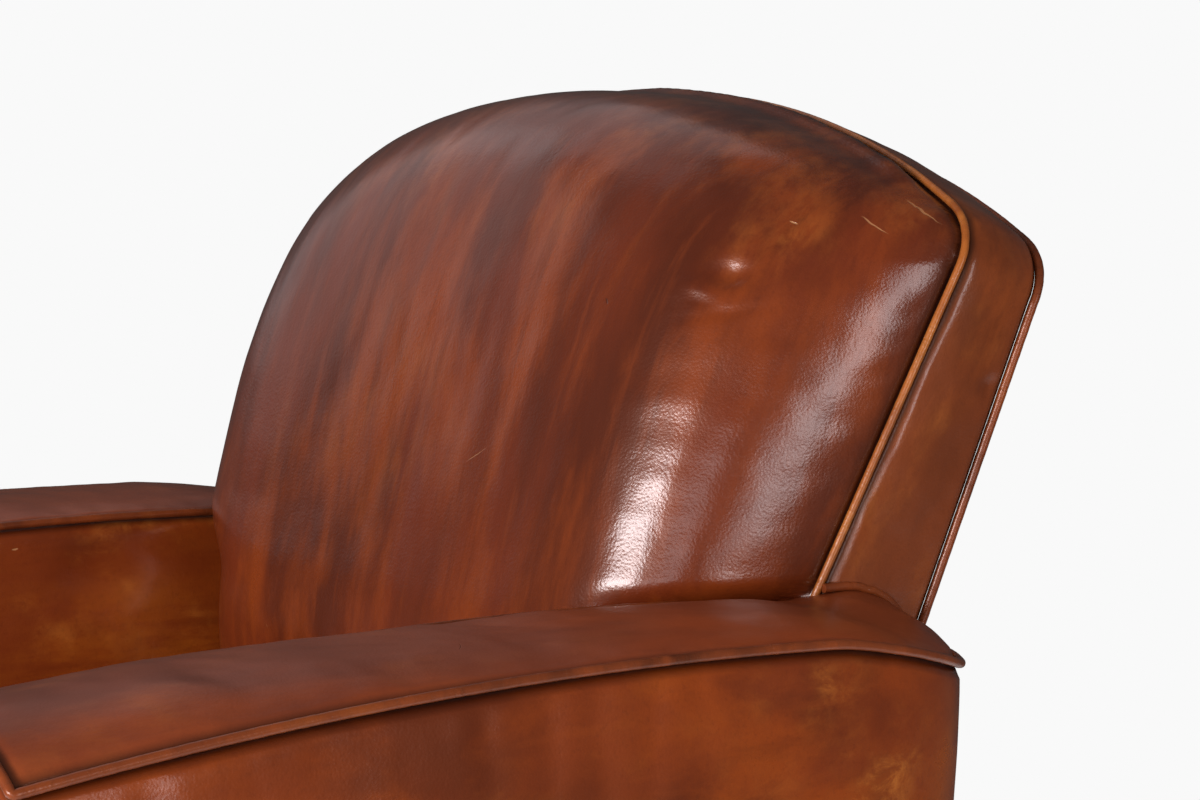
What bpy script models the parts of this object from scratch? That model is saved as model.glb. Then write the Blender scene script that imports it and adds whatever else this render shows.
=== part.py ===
import math

import bmesh
import bpy
import numpy as np

# Club chair in metres. Front towards -Y, feet on z = 0, left and right alike.

gap = 0.0003              # air kept between pieces that touch
hide = 0.002              # leather thickness
cord = 0.003              # piping radius
seam = cord + 0.0006      # leather edge to piping centre
cushion_seam = cord + 0.0001
mid_y = 0.0812            # moves the plan so that its middle is at y = 0

# back
level = 0.570             # height of the arms where the back meets them
back_y = 0.120 + mid_y    # front seam of the back at that height
rake = math.radians(22.5)   # lean of the back above the arms
low_rake = math.radians(6.5)   # lean of the back behind the seat
bend = 0.25               # radius of the change between the two
half_low = 0.2766         # half width of the back at the arms
half_high = 0.3100        # half width of the back at its top corners
corner_s = 0.206          # start of the top corner, measured up the back
corner_r = 0.038          # top corner radius
corner_fall = math.radians(24.5)   # slope of the top edge beside the corner
deep_low = 0.081          # boxing depth at the arms
deep_high = 0.060         # boxing depth at the top
deep_body = 0.071         # same plane below the arms
stem = 0.2405             # half width of the back between the arms
pad_foot = -0.285         # lower end of the back padding, down the back
slab_n = 0.010            # rear face of the back padding behind the seam

# arms
front_y = -0.433 + mid_y
arm_in = 0.251
arm_out = 0.407
arm_crown = 0.016
turn_x = half_low + 0.0044   # centre of the rounded rear corner
turn_r = arm_out - turn_x
base_z = 0.112            # lower edge of the covering
inside_foot = 0.200       # lower edge of the inside arm

# seat
deck_low = 0.2353
deck_top = 0.2700
deck_rear = 0.132
seat_front = -0.458 + mid_y
seat_rear = 0.058
seat_half = arm_in - 0.0125
seat_low_seam = 0.2835
seat_top_seam = 0.3915
rail_top = 0.180


def material(name, colour, rough, metal=0.0):
    mat = bpy.data.materials.new(name)
    mat.use_nodes = True
    shader = mat.node_tree.nodes["Principled BSDF"]
    shader.inputs["Base Color"].default_value = (*colour, 1.0)
    shader.inputs["Roughness"].default_value = rough
    shader.inputs["Metallic"].default_value = metal
    mat.diffuse_color = (*colour, 1.0)
    return mat


def solid(name, verts, faces, mat):
    mesh = bpy.data.meshes.new(name)
    mesh.from_pydata([tuple(float(v) for v in p) for p in verts], [], faces)
    work = bmesh.new()
    work.from_mesh(mesh)
    bmesh.ops.recalc_face_normals(work, faces=work.faces)
    work.to_mesh(mesh)
    work.free()
    mesh.materials.append(mat)
    item = bpy.data.objects.new(name, mesh)
    bpy.context.scene.collection.objects.link(item)
    return item


def slab(name, outer, inner, mat, wrap=False, pole=False):
    """Closed body between two point grids of the same size."""
    rows, cols = outer.shape[:2]
    verts = []
    faces = []

    def store(grid):
        ids = np.zeros((rows, cols), int)
        for r in range(rows):
            for c in range(cols):
                if pole and r == 0 and c > 0:
                    ids[r, c] = ids[0, 0]
                    continue
                ids[r, c] = len(verts)
                verts.append(grid[r, c])
        return ids

    def quad(*ids):
        ring = []
        for i in ids:
            if int(i) not in ring:
                ring.append(int(i))
        if len(ring) > 2:
            faces.append(ring)

    a = store(outer)
    b = store(inner)
    spans = cols if wrap else cols - 1
    for r in range(rows - 1):
        for c in range(spans):
            d = (c + 1) % cols
            for p in (a, b):    # the same diagonal on both sides
                quad(p[r, c], p[r, d], p[r + 1, d])
                quad(p[r, c], p[r + 1, d], p[r + 1, c])
    for c in range(spans):
        d = (c + 1) % cols
        quad(a[-1, c], a[-1, d], b[-1, d], b[-1, c])
        if not pole:
            quad(a[0, c], b[0, c], b[0, d], a[0, d])
    if not wrap:
        for r in range(rows - 1):
            quad(a[r, 0], a[r + 1, 0], b[r + 1, 0], b[r, 0])
            quad(a[r, -1], b[r, -1], b[r + 1, -1], a[r + 1, -1])
    return solid(name, verts, faces, mat)


def unit(vectors):
    return vectors / np.maximum(np.linalg.norm(vectors, axis=-1, keepdims=True), 1e-12)


def sink(grid, amount, hint, wrap=False, pole=False):
    """Grid moved against its outward side; hint points outward halfway down column 0."""
    rows, cols = grid.shape[:2]
    total = np.zeros_like(grid)
    for r in range(rows - 1):
        for c in range(cols if wrap else cols - 1):
            d = (c + 1) % cols
            face = unit(np.cross(grid[r + 1, d] - grid[r, c], grid[r + 1, c] - grid[r, d]))
            for i, j in ((r, c), (r, d), (r + 1, c), (r + 1, d)):
                total[i, j] += face
    if pole:
        total[0] = total[0].sum(axis=0)
    total = unit(total)
    if wrap:
        total = unit(total * 2 + np.roll(total, 1, axis=1) + np.roll(total, -1, axis=1))
    side = 1 if total[rows // 2, 0] @ np.array(hint) > 0 else -1
    return grid - side * amount * total


def tube(name, path, radius, sides, mat):
    path = np.asarray(path, float)
    tangent = np.gradient(path, axis=0)
    tangent /= np.linalg.norm(tangent, axis=1, keepdims=True)
    ref = np.array([0.0, 0.0, 1.0])
    if abs(tangent[0] @ ref) > 0.9:
        ref = np.array([1.0, 0.0, 0.0])
    verts = []
    for point, t in zip(path, tangent):
        ref = ref - t * (ref @ t)
        ref /= np.linalg.norm(ref)
        other = np.cross(t, ref)
        for k in range(sides):
            a = 2 * math.pi * (k + 0.5) / sides
            verts.append(point + radius * (math.cos(a) * ref + math.sin(a) * other))
    faces = []
    for j in range(len(path) - 1):
        for k in range(sides):
            m = (k + 1) % sides
            faces.append([j * sides + k, j * sides + m, (j + 1) * sides + m, (j + 1) * sides + k])
    faces.append(list(range(sides)))
    faces.append([(len(path) - 1) * sides + k for k in range(sides)])
    return solid(name, verts, faces, mat)


def loft(name, rings, mat):
    """Closed body through rings with the same number of corners."""
    count = len(rings[0])
    verts = [p for ring in rings for p in ring]
    faces = [list(range(count))]
    faces.append([(len(rings) - 1) * count + k for k in range(count)])
    for j in range(len(rings) - 1):
        for k in range(count):
            m = (k + 1) % count
            faces.append([j * count + k, j * count + m, (j + 1) * count + m, (j + 1) * count + k])
    return solid(name, verts, faces, mat)


def board(name, low, high, mat):
    rings = []
    for z in (low[2], high[2]):
        rings.append([(low[0], low[1], z), (high[0], low[1], z),
                      (high[0], high[1], z), (low[0], high[1], z)])
    return loft(name, rings, mat)


def ease(value, start, end):
    k = min(max((value - start) / (end - start), 0.0), 1.0)
    return k * k * (3 - 2 * k)


# the back: x across, s up the back, n behind its front seam


def place(x, s, n):
    if s >= 0:
        angle = rake
        foot_y, foot_z, run = back_y, level, s
    else:
        mid_y_arc = back_y + bend * math.cos(rake)
        mid_z_arc = level - bend * math.sin(rake)
        angle = max(rake + s / bend, low_rake)
        foot_y = mid_y_arc - bend * math.cos(angle)
        foot_z = mid_z_arc + bend * math.sin(angle)
        run = min(s + bend * (rake - low_rake), 0.0)
    y = foot_y + run * math.sin(angle) + n * math.cos(angle)
    z = foot_z + run * math.cos(angle) - n * math.sin(angle)
    return np.array([x, y, z])


def depth(s):
    if s < 0:
        return deep_low + (deep_body - deep_low) * ease(-s, 0.0, 0.03)
    return deep_low + (deep_high - deep_low) * min(s / corner_s, 1.0)


def side_x(s):
    return half_low + (half_high - half_low) * min(max(s, 0.0), corner_s) / corner_s


def arch(inset, corner_points, top_points):
    """Right top corner to left top corner, as (x, s) points."""
    flare = math.atan2(half_high - half_low, corner_s)
    cx = half_high - corner_r * math.cos(flare)
    cs = corner_s + corner_r * math.sin(flare)
    points = []
    for k in range(corner_points + 1):
        a = -flare + (math.pi / 2 - corner_fall + flare) * k / corner_points
        points.append((cx + (corner_r - inset) * math.cos(a), cs + (corner_r - inset) * math.sin(a)))
    big = (cx + corner_r * math.sin(corner_fall)) / math.sin(corner_fall)
    low = cs + corner_r * math.cos(corner_fall) - big * math.cos(corner_fall)
    for k in range(1, top_points // 2 + 1):
        a = corner_fall * (1 - k / (top_points // 2))
        points.append(((big - inset) * math.sin(a), low + (big - inset) * math.cos(a)))
    return points + [(-x, s) for x, s in points[-2::-1]]


def edge(start, inset, side_points, corner_points=4, top_points=8):
    """Up the right side, over the arch and down the left side."""
    side = []
    for k in range(side_points):
        s = start + (corner_s - start) * k / side_points
        side.append((side_x(s) - inset, s))
    return side + arch(inset, corner_points, top_points) + [(-x, s) for x, s in side[::-1]]


def front_loop(inset):
    """Whole edge of the inside back, down to the seat between the arms."""
    ledge = [(stem - inset, -0.012), (stem + 0.0045 - inset, 0.006 + inset)]
    upper = edge(0.0075 + inset, inset, 5)
    low = [(stem - inset, -0.08), (stem - inset, -0.15), (stem - inset, -0.215)]
    for k in range(3):
        a = math.pi / 2 * k / 2
        r = 0.03
        low.append((stem - r + (r - inset) * math.cos(a), pad_foot + r - (r - inset) * math.sin(a)))
    foot = [(0.1, pad_foot + inset), (0.0, pad_foot + inset), (-0.1, pad_foot + inset)]
    right = ledge[::-1]
    ring = upper + [(-x, s) for x, s in right] + [(-x, s) for x, s in low] + foot[::-1]
    return ring + low[::-1] + ledge


heart = (0.0, 0.12)       # the loops of the inside back shrink to this point


def top_s(x):
    """Height of the top edge above a place across the back."""
    line = arch(seam, 8, 16)
    xs = [p[0] for p in line][::-1]
    return float(np.interp(x, xs, [p[1] for p in line][::-1]))


def pad_rise(x, s, inset):
    """Forward swell of the inside back over its seam plane."""
    wide = side_x(s) - inset
    wide = stem - inset + (wide - stem + inset) * ease(s, -0.03, 0.02)
    height = 0.120 + 0.14 * s - 0.05 * max(-0.05 - s, 0.0)
    power = 9.4 - 25 * min(max(s, 0.0), 0.25)
    across = max(1 - min(abs(x) / wide, 1.0) ** power, 0.0) ** 0.6
    up = min(max(s / (top_s(x) - inset + seam), 0.0), 1.0)
    return height * across * max(1 - up ** 3.5, 0.0) ** 0.3


def front_grid(inset, steps):
    ring = front_loop(inset)
    grid = np.zeros((len(steps), len(ring), 3))
    for i, r in enumerate(steps):
        for j, (x, s) in enumerate(ring):
            px = heart[0] + (x - heart[0]) * r
            ps = heart[1] + (s - heart[1]) * r
            rise = pad_rise(px, ps, inset)
            tilt = math.radians(8.3) * min(max((ps - 0.03) / 0.22, 0.0), 1.0)
            grid[i, j] = place(px, ps, 0) + rise * np.array([0, -math.cos(tilt), math.sin(tilt)])
    return grid


front_steps = (0.0, 0.36, 0.62, 0.79, 0.895, 0.955, 0.987, 0.9985, 1.0)


def inside_back(leather, wool):
    grid = front_grid(seam, front_steps)
    slab("inside_back_leather", grid, sink(grid, hide, (0, -1, 0), True, True), leather, True, True)
    fill = sink(grid, hide + gap + 0.0009, (0, -1, 0), True, True)
    rear = np.zeros_like(fill)
    ring = front_loop(seam + hide + gap + 0.001)
    for i, r in enumerate(front_steps):
        for j, (x, s) in enumerate(ring):
            ps = heart[1] + (s - heart[1]) * r
            rear[i, j] = place(x * r, ps, slab_n - 0.016 * ease(-ps, -0.02, 0.012))
    slab("back_padding", fill, rear, wool, True, True)


def boxing_bottom(n):
    k = n / deep_low
    return 0.0065 + 0.010 * k + 0.003 * math.sin(math.pi * k)


def boxing(leather):
    rows = 4
    rings = []
    for k in range(rows + 1):
        frac = k / rows
        puff = 0.001 + 0.0035 * math.sin(math.pi * frac)
        n_low = seam + (deep_low - 2 * seam) * frac
        line = edge(boxing_bottom(n_low), -puff, 5)
        rings.append([place(x, s, seam + (depth(s) - 2 * seam) * frac) for x, s in line])
    grid = np.array(rings)
    slab("back_boxing_leather", grid, sink(grid, hide, (1, 0, 0)), leather)


def front_piping(leather):
    line = [place(x, s, 0) for x, s in edge(0.0085, 0, 7, 5, 10)]
    tube("back_front_piping", line, cord, 5, leather)


def rear_foot():
    s = -0.30
    while place(0, s, deep_low)[2] > base_z:
        s -= 0.001
    return s + 0.001


def rear_piping(leather):
    low = rear_foot()
    lower = [(half_low, low + (0 - low) * k / 6) for k in range(6)]
    line = lower + edge(0.0, 0, 5, 4, 10) + [(-x, s) for x, s in lower[::-1]]
    tube("back_rear_piping", [place(x, s, depth(s)) for x, s in line], cord, 5, leather)


knee = (-0.068, -0.034, -0.012, 0.004)   # rows round the change of lean


def rear_grid(inset, n_off):
    """Outside back: rows up the back, columns across."""
    top = arch(inset, 3, 6)
    low = rear_foot()
    flat = [low, -0.16, *knee, 0.13]
    rows = []
    for s in flat:
        rows.append([place(x / top[0][0] * (side_x(s) - inset), s, depth(s) + n_off) for x, _ in top])
    last = flat[-1]
    for k in (0.5, 1.0):
        row = []
        for x, s in top:
            px = x / top[0][0] * (side_x(last) - inset)
            ps = last + (s - last) * k
            row.append(place(px + (x - px) * k, ps, depth(ps) + n_off))
        rows.append(row)
    return np.array(rows)


def outside_back(leather, lining):
    slab("outside_back_leather", rear_grid(seam, 0.0005), rear_grid(seam, 0.0005 - hide), leather)
    face = 0.0005 - hide - gap
    slab("outside_back_lining", rear_grid(seam + 0.001, face),
         rear_grid(seam + 0.001, face - 0.005), lining)


# the arms: t from front to rear, plan follows the rounded corner


def rear_line(z):
    s = np.linspace(-0.6, 0.3, 181)
    points = np.array([place(0, k, deep_body) for k in s])
    return float(np.interp(z, points[:, 2], points[:, 1]))


straight = 0.70           # share of t before the rounded corner


def arm_height(y):
    t = y - back_y
    return level - 0.076 * t - 0.197 * t * t


def wall_x(z):
    return arm_out - 0.009 * max((0.55 - z) / 0.44, 0.0) ** 1.6


def plan(t, z, out=0.0, start=front_y):
    turn_y = rear_line(z) - turn_r
    if t <= straight:
        return wall_x(z) + out, start + (turn_y - start) * t / straight
    a = math.radians(88.2) * (t - straight) / (1 - straight)
    wide = wall_x(z) - turn_x + out
    return turn_x + wide * math.cos(a), turn_y + (turn_r + out) * math.sin(a)


def outer_top(t):
    """Outer piping of the arm."""
    y = plan(t, level)[1] if t <= straight else plan(straight, level)[1]
    z = arm_height(y) - 0.022 * ease(t, straight - 0.06, straight + 0.17)
    x, y = plan(t, z)
    return np.array([x, y, z])


def inner_top(t):
    """Inner piping of the arm, then a line under the back."""
    y = plan(min(t, straight), level)[1]
    if t > straight:
        y += 0.050 * (t - straight) / (1 - straight)
    return np.array([arm_in, y, arm_height(y)])


def top_rise(t, v):
    front = 0.010 * (1 - ease(t, 0.0, 0.35))
    rear = 0.012 * ease(t, 0.62, 0.86)
    return (arm_crown + front - rear) * (1 - abs(2 * v - 1) ** 2.3)


def top_point(t, v):
    return inner_top(t) * (1 - v) + outer_top(t) * v + np.array([0, 0, top_rise(t, v)])


arm_steps = [0.0, 0.12, 0.26, 0.40, 0.53, 0.63, 0.70, 0.755, 0.81, 0.865, 0.92, 0.965, 1.0]


def steps_from(start_y):
    """The steps with the first moved to a given y."""
    first = straight * (start_y - front_y) / (plan(straight, level)[1] - front_y)
    return [first] + arm_steps[1:]


def arm_top(side, leather, wool):
    cols = (0.0, 0.07, 0.2, 0.4, 0.6, 0.8, 0.93, 1.0)
    grid = []
    for t in steps_from(front_y + seam):
        width = np.linalg.norm(outer_top(t) - inner_top(t))
        cut = seam / width
        grid.append([top_point(t, cut + (1 - 2 * cut) * v) for v in cols])
    grid = np.array(grid)
    fill_grid = []
    for t in steps_from(front_y + 0.0045):
        width = np.linalg.norm(outer_top(t) - inner_top(t))
        cut = 0.0068 / width
        fill_grid.append([top_point(t, cut + (1 - 2 * cut) * v) for v in cols])
    fill_grid = np.array(fill_grid)
    fill = sink(fill_grid, hide + gap + 0.0004, (0, 0, 1))
    under = fill_grid.copy()
    under[:, :, 2] -= hide + gap + 0.018
    under[:, :, :2] = fill[:, :, :2]
    both(side, "arm_top_leather", grid, sink(grid, hide, (0, 0, 1)), leather)
    both(side, "arm_top_padding", fill, under, wool)


def inside_rows(drop, out, start):
    """Inside arm: level rows towards the back, columns up the side."""
    rim = front_y + 0.0014
    stop = place(0, beam[0], beam_n)[1] - gap
    grid = []
    for j in range(8):
        y = rim + (stop - rim) * j / 7 if j else start
        top = arm_height(y)
        row = []
        for k in range(7):
            z = inside_foot + (top - seam - inside_foot) * k / 6
            swell = 0.0045 * math.sin(math.pi * min((top - seam - z) / 0.20, 1.0))
            swell *= min((y - rim) * 7 / (stop - rim), 1.0)
            if k == 6:
                z = top - drop
            row.append((arm_in - swell + out, y, z))
        grid.append(row)
    return np.array(grid)


def inside_arm(side, leather, wool):
    rim = front_y + 0.0014
    both(side, "inside_arm_leather", inside_rows(seam, 0, rim), inside_rows(seam, hide, rim), leather)
    near, deep = hide + gap + 0.0007, hide + gap + 0.018
    start = post_y[1] + gap
    both(side, "inside_arm_padding", inside_rows(0.0245, near, start),
         inside_rows(0.0245, deep, start), wool)


def outside_rows(drop, out, start):
    """Outside arm: rows round to the rear seam, columns up the side."""
    first = straight * (start - front_y) / (plan(straight, level)[1] - front_y)
    grid = []
    for t in [first] + arm_steps[1:]:
        top = outer_top(t)[2]
        row = []
        for k in range(7):
            z = base_z + (top - seam - base_z) * k / 6
            swell = 0.003 * math.sin(math.pi * k / 6) * min(t / arm_steps[1], 1.0)
            if k == 6:
                z = top - drop
            x, y = plan(t, z, swell + out)
            row.append((x, start if t == first else y, z))
        grid.append(row)
    return np.array(grid)


def outside_arm(side, leather, wool):
    rim = front_y + 0.0014
    both(side, "outside_arm_leather", outside_rows(seam, 0, rim), outside_rows(seam, -hide, rim), leather)
    near, deep = -hide - gap, -hide - gap - 0.012
    start = post_y[1] + gap
    both(side, "outside_arm_padding", outside_rows(0.0245, near, start),
         outside_rows(0.0245, deep, start), wool)


front_places = (0.97, 0.88, 0.72, 0.5, 0.28, 0.12, 0.03)


def arm_front(side, leather):
    """Flat facing with a curved top edge."""
    face = []
    for v in (0.004,) + front_places[::-1] + (0.996,):
        high = top_point(0, v)[2] - seam - 0.0004
        x_top = top_point(0, v)[0]
        row = []
        for k in range(5):
            z = base_z + (high - base_z) * k / 4
            x = arm_in + (wall_x(z) - arm_in) * v
            row.append((x if k < 4 else x_top, front_y - 0.001, z))
        face.append(row)
    face = np.array(face)
    rear = face.copy()
    rear[:, :, 1] += hide
    both(side, "arm_front_leather", face, rear, leather)


def arm_piping(side, leather):
    """One cord round the top panel: outer edge, front edge, inner edge."""
    line = [outer_top(t) for t in arm_steps[::-1]]
    line += [top_point(0, v) for v in front_places]
    stop = 0.150
    reach = inner_top(0)
    for k in range(9):
        y = reach[1] + (stop - reach[1]) * k / 8
        line.append(np.array([arm_in, y, arm_height(y)]))
    line = np.array(line)
    line[:, 0] *= side
    tube(label(side) + "_arm_piping", line, cord, 5, leather)


def label(side):
    return "left" if side > 0 else "right"


def both(side, name, outer, inner, mat):
    outer = outer.copy()
    inner = inner.copy()
    outer[:, :, 0] *= side
    inner[:, :, 0] *= side
    slab(label(side) + "_" + name, outer, inner, mat)


# wooden frame

post_in = arm_in + hide + 2 * gap
rail_x = (0.285, 0.325)
post_y = (front_y + 0.0014, front_y + 0.0265)
rear_foot_y = mid_y + 0.038
beam = (-0.100, -0.0615)  # middle rail of the back, down the back
beam_n = 0.004
edge_wood = 0.0030        # boxing seam to the wood behind it


def back_box(name, x_low, x_high, s_low, s_high, n_low, n_high, mat):
    rings = []
    for s in (s_low, s_high):
        rings.append([place(x_low, s, n_low), place(x_high, s, n_low),
                      place(x_high, s, n_high), place(x_low, s, n_high)])
    return loft(name, rings, mat)


def at_height(z, n):
    """Distance s on the back for a height at depth n."""
    s = np.linspace(-0.6, 0.3, 361)
    high = [place(0, k, n)[2] for k in s]
    return float(np.interp(z, high, s))


def upright(side, wood):
    """Rear upright: straight between the arms, then following the back edge."""
    rings = []
    foot = at_height(base_z + 0.001, 0.0653)
    shape = [(foot, 0.0)] + [(s, 0.0) for s in knee] + [(0.024, 1.0), (0.13, 1.0)]
    flare = math.atan2(half_high - half_low, corner_s)
    shape.append((corner_s + edge_wood * math.sin(flare) - gap, 1.0))
    for s, grow in shape:
        outer = (stem - 0.004) * (1 - grow) + (side_x(s) - edge_wood) * grow
        lead = 0.0304 - 0.0174 * ease(s, 0.0, 0.12)
        tail = depth(s) - 0.0105
        lift = 0.034 * math.tan(flare) if s == shape[-1][0] else 0.0
        inner = outer - 0.034
        rings.append([place(side * inner, s + lift, lead), place(side * outer, s, lead),
                      place(side * outer, s, tail), place(side * inner, s + lift, tail)])
    loft(label(side) + "_upright", rings, wood)


def top_rail(wood):
    outer = []
    inner = []
    lead, tail = 0.013, deep_high - 0.0105
    high = arch(edge_wood, 4, 8)
    low = arch(edge_wood + 0.032, 4, 8)
    for (x1, s1), (x2, s2) in zip(high, low):
        s2 = max(s2, corner_s)
        outer.append([place(x1, max(s1, corner_s), lead), place(x1, max(s1, corner_s), tail)])
        inner.append([place(x2, s2 - 0.0, lead), place(x2, s2 - 0.0, tail)])
    slab("top_back_rail", np.array(outer), np.array(inner), wood)


def frame(wood):
    face = front_y + 0.0014
    half = arm_in - gap
    board("front_seat_rail", (-half, face, base_z), (half, face + 0.025, deck_low - gap), wood)
    s_low, s_high = at_height(base_z + 0.001, 0.030), at_height(rail_top, 0.0)
    back_box("rear_seat_rail", -rail_x[1], rail_x[1], s_low, s_high, 0.003, 0.030, wood)
    back_box("middle_back_rail", -rail_x[1], rail_x[1], *beam, beam_n, 0.030, wood)
    top_rail(wood)
    for side in (1, -1):
        name = label(side)
        x = sorted((side * rail_x[0], side * rail_x[1]))
        rear = place(0, s_low, 0.003)[1] - gap
        board(name + "_seat_rail", (x[0], post_y[1] + gap, base_z), (x[1], rear, rail_top), wood)
        arm_low = place(0, beam[0], beam_n)[2]
        arm_high = 0.529
        rear = place(0, beam[0], beam_n)[1] - gap
        board(name + "_arm_rail", (x[0], post_y[1] + gap, arm_low), (x[1], rear, arm_high), wood)
        rings = []
        for z in (base_z, 0.25, 0.40, arm_high):
            low_x, high_x = post_in, wall_x(z) - hide - 3 * gap
            rings.append([(side * px, py, z) for px, py in
                          ((low_x, post_y[0]), (high_x, post_y[0]),
                            (high_x, post_y[1]), (low_x, post_y[1]))])
        loft(name + "_front_post", rings, wood)
        upright(side, wood)


def feet(wood):
    for side in (1, -1):
        name = label(side)
        rings = []
        for z, r in ((0.0, 0.022), (0.006, 0.025), (0.070, 0.033), (0.094, 0.037), (base_z - gap, 0.036)):
            rings.append([(side * 0.328 + r * math.cos(math.pi * k / 6),
                           front_y + 0.046 + r * math.sin(math.pi * k / 6), z) for k in range(12)])
        loft(name + "_front_foot", rings, wood)
        rings = []
        for z, half, back in ((0.0, 0.017, 0.030), (0.006, 0.018, 0.029), (base_z - gap, 0.0225, 0.0)):
            x, y = side * 0.300, rear_foot_y + back
            rings.append([(x - half, y - half, z), (x + half, y - half, z),
                          (x + half, y + half, z), (x - half, y + half, z)])
        loft(name + "_rear_foot", rings, wood)


# webbing, springs and seat


def lattice(name, xs, ys, fill_x, fill_y, point, mat):
    """Crossing strips as one solid; point(x, y, layer) gives the position."""
    nx, ny = len(xs), len(ys)
    verts = []
    for layer in (0, 1):
        for j in range(ny):
            for i in range(nx):
                verts.append(point(xs[i], ys[j], layer))
    faces = []

    def corner(i, j, layer):
        return layer * nx * ny + j * nx + i

    def filled(i, j):
        if not (0 <= i < nx - 1 and 0 <= j < ny - 1):
            return False
        return fill_x[i] or fill_y[j]

    for j in range(ny - 1):
        for i in range(nx - 1):
            if not filled(i, j):
                continue
            faces.append([corner(i, j, 1), corner(i + 1, j, 1),
                          corner(i + 1, j + 1, 1), corner(i, j + 1, 1)])
            faces.append([corner(i, j, 0), corner(i, j + 1, 0),
                          corner(i + 1, j + 1, 0), corner(i + 1, j, 0)])
            for di, dj, p, q in ((0, -1, (i, j), (i + 1, j)), (0, 1, (i + 1, j + 1), (i, j + 1)),
                                 (-1, 0, (i, j + 1), (i, j)), (1, 0, (i + 1, j), (i + 1, j + 1))):
                if not filled(i + di, j + dj):
                    faces.append([corner(*p, 0), corner(*q, 0), corner(*q, 1), corner(*p, 1)])
    used = sorted({i for f in faces for i in f})
    new = {old: k for k, old in enumerate(used)}
    return solid(name, [verts[i] for i in used], [[new[i] for i in f] for f in faces], mat)


def strips(first, last, count, width, reach_low, reach_high):
    """Edges and filled flags for evenly spaced strips."""
    edges = [reach_low]
    flags = []
    for k in range(count):
        mid = first + (last - first) * k / (count - 1)
        edges += [mid - width / 2, mid + width / 2]
        flags += [False, True]
    edges.append(reach_high)
    flags.append(False)
    return edges, flags


spring_rows = (-0.185, -0.0625, 0.060)


def webbing(jute):
    xs, fill_x = strips(-0.17, 0.17, 3, 0.05, -0.312, 0.312)
    ys, fill_y = strips(*spring_rows[::2], 3, 0.05, front_y + 0.006, 0.158)
    lattice("seat_webbing", xs, ys, fill_x, fill_y,
            lambda x, y, k: (x, y, base_z - gap - 0.0022 * (1 - k)), jute)
    xs, fill_x = strips(-0.14, 0.14, 3, 0.045, -0.232, 0.232)
    ys, fill_y = strips(0.05, 0.20, 2, 0.045, 0.0165, 0.262)
    lattice("back_webbing", xs, ys, fill_x, fill_y,
            lambda x, s, k: place(x, s, slab_n + gap + 0.0022 * k), jute)


def springs(steel):
    low, high = base_z + 0.0002, deck_low - gap
    wire = 0.0019
    number = 1
    for y in spring_rows:
        for x in (-0.17, 0.0, 0.17):
            path = []
            turns, count = 3.5, 26
            for k in range(count + 1):
                f = k / count
                r = 0.023 + 0.013 * (2 * f - 1) ** 2
                a = 2 * math.pi * turns * f
                z = low + wire + (high - low - 2 * wire) * f
                path.append((x + r * math.cos(a), y + r * math.sin(a), z))
            tube(f"seat_spring_{number}", path, wire * 0.99, 4, steel)
            number += 1


def deck(cloth):
    half = arm_in - 0.0075
    board("seat_deck", (-half, front_y + 0.0014, deck_low), (half, deck_rear, deck_top), cloth)


def front_border(leather):
    board("front_border_leather", (-arm_in + cord + gap, front_y - 0.001, base_z),
          (arm_in - cord - gap, front_y + 0.001, deck_top + 0.002), leather)


def cushion_loop(out):
    ring = []
    r = 0.035
    x_mid = seat_half - r
    y_low, y_high = seat_front + cord + r, seat_rear - r
    for cx, cy, start in ((x_mid, y_high, 0), (-x_mid, y_high, 90),
                          (-x_mid, y_low, 180), (x_mid, y_low, 270)):
        for k in range(4):
            a = math.radians(start + 30 * k)
            ring.append((cx + (r + out) * math.cos(a), cy + (r + out) * math.sin(a)))
        end = ring[-1]
        if start == 0 or start == 180:
            sign = 1 if start == 0 else -1
            for k in (1, 2, 3):
                ring.append((end[0] - sign * 2 * x_mid * k / 4, end[1]))
        else:
            sign = 1 if start == 90 else -1
            for k in (1, 2, 3):
                ring.append((end[0], end[1] - sign * (y_high - y_low) * k / 4))
    return ring


def cushion_grid(inset, seam_z, rise, steps):
    ring = cushion_loop(-inset)
    cy = (seat_front + seat_rear) / 2
    grid = np.zeros((len(steps), len(ring), 3))
    for i, r in enumerate(steps):
        for j, (x, y) in enumerate(ring):
            grid[i, j] = (x * r, cy + (y - cy) * r, seam_z + rise * (1 - r ** 3.2) ** 0.62)
    return grid


def cushion(leather, feather):
    steps = (0.0, 0.4, 0.7, 0.88, 0.97, 1.0)
    top = cushion_grid(cushion_seam, seat_top_seam, 0.026, steps)
    low = cushion_grid(cushion_seam, seat_low_seam, -0.0128, steps)
    slab("cushion_top_panel", top, sink(top, hide, (0, 0, 1), True, True), leather, True, True)
    slab("cushion_bottom_panel", low, sink(low, hide, (0, 0, -1), True, True), leather, True, True)
    drop = np.array([0, 0, hide + gap])
    top = cushion_grid(cushion_seam + 0.0028, seat_top_seam, 0.026, steps) - 1.25 * drop
    low = cushion_grid(cushion_seam + 0.0028, seat_low_seam, -0.0128, steps) + 1.25 * drop
    slab("cushion_filling", top, low, feather, True, True)
    rows = []
    for k in range(5):
        f = k / 4
        z = seat_low_seam + cushion_seam + (seat_top_seam - seat_low_seam - 2 * cushion_seam) * f
        rows.append([(x, y, z) for x, y in cushion_loop(0.0008 + 0.0030 * math.sin(math.pi * f))])
    outer = np.array(rows)
    inner = np.array([[(x, y, row[0][2])
                       for x, y in cushion_loop(0.0008 + 0.0030 * math.sin(math.pi * k / 4) - hide)]
                      for k, row in enumerate(rows)])
    slab("cushion_boxing", outer, inner, leather, True)
    for name, z in (("cushion_top_piping", seat_top_seam), ("cushion_bottom_piping", seat_low_seam)):
        ring_tube(name, [(x, y, z) for x, y in cushion_loop(0.0)], leather)


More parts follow.
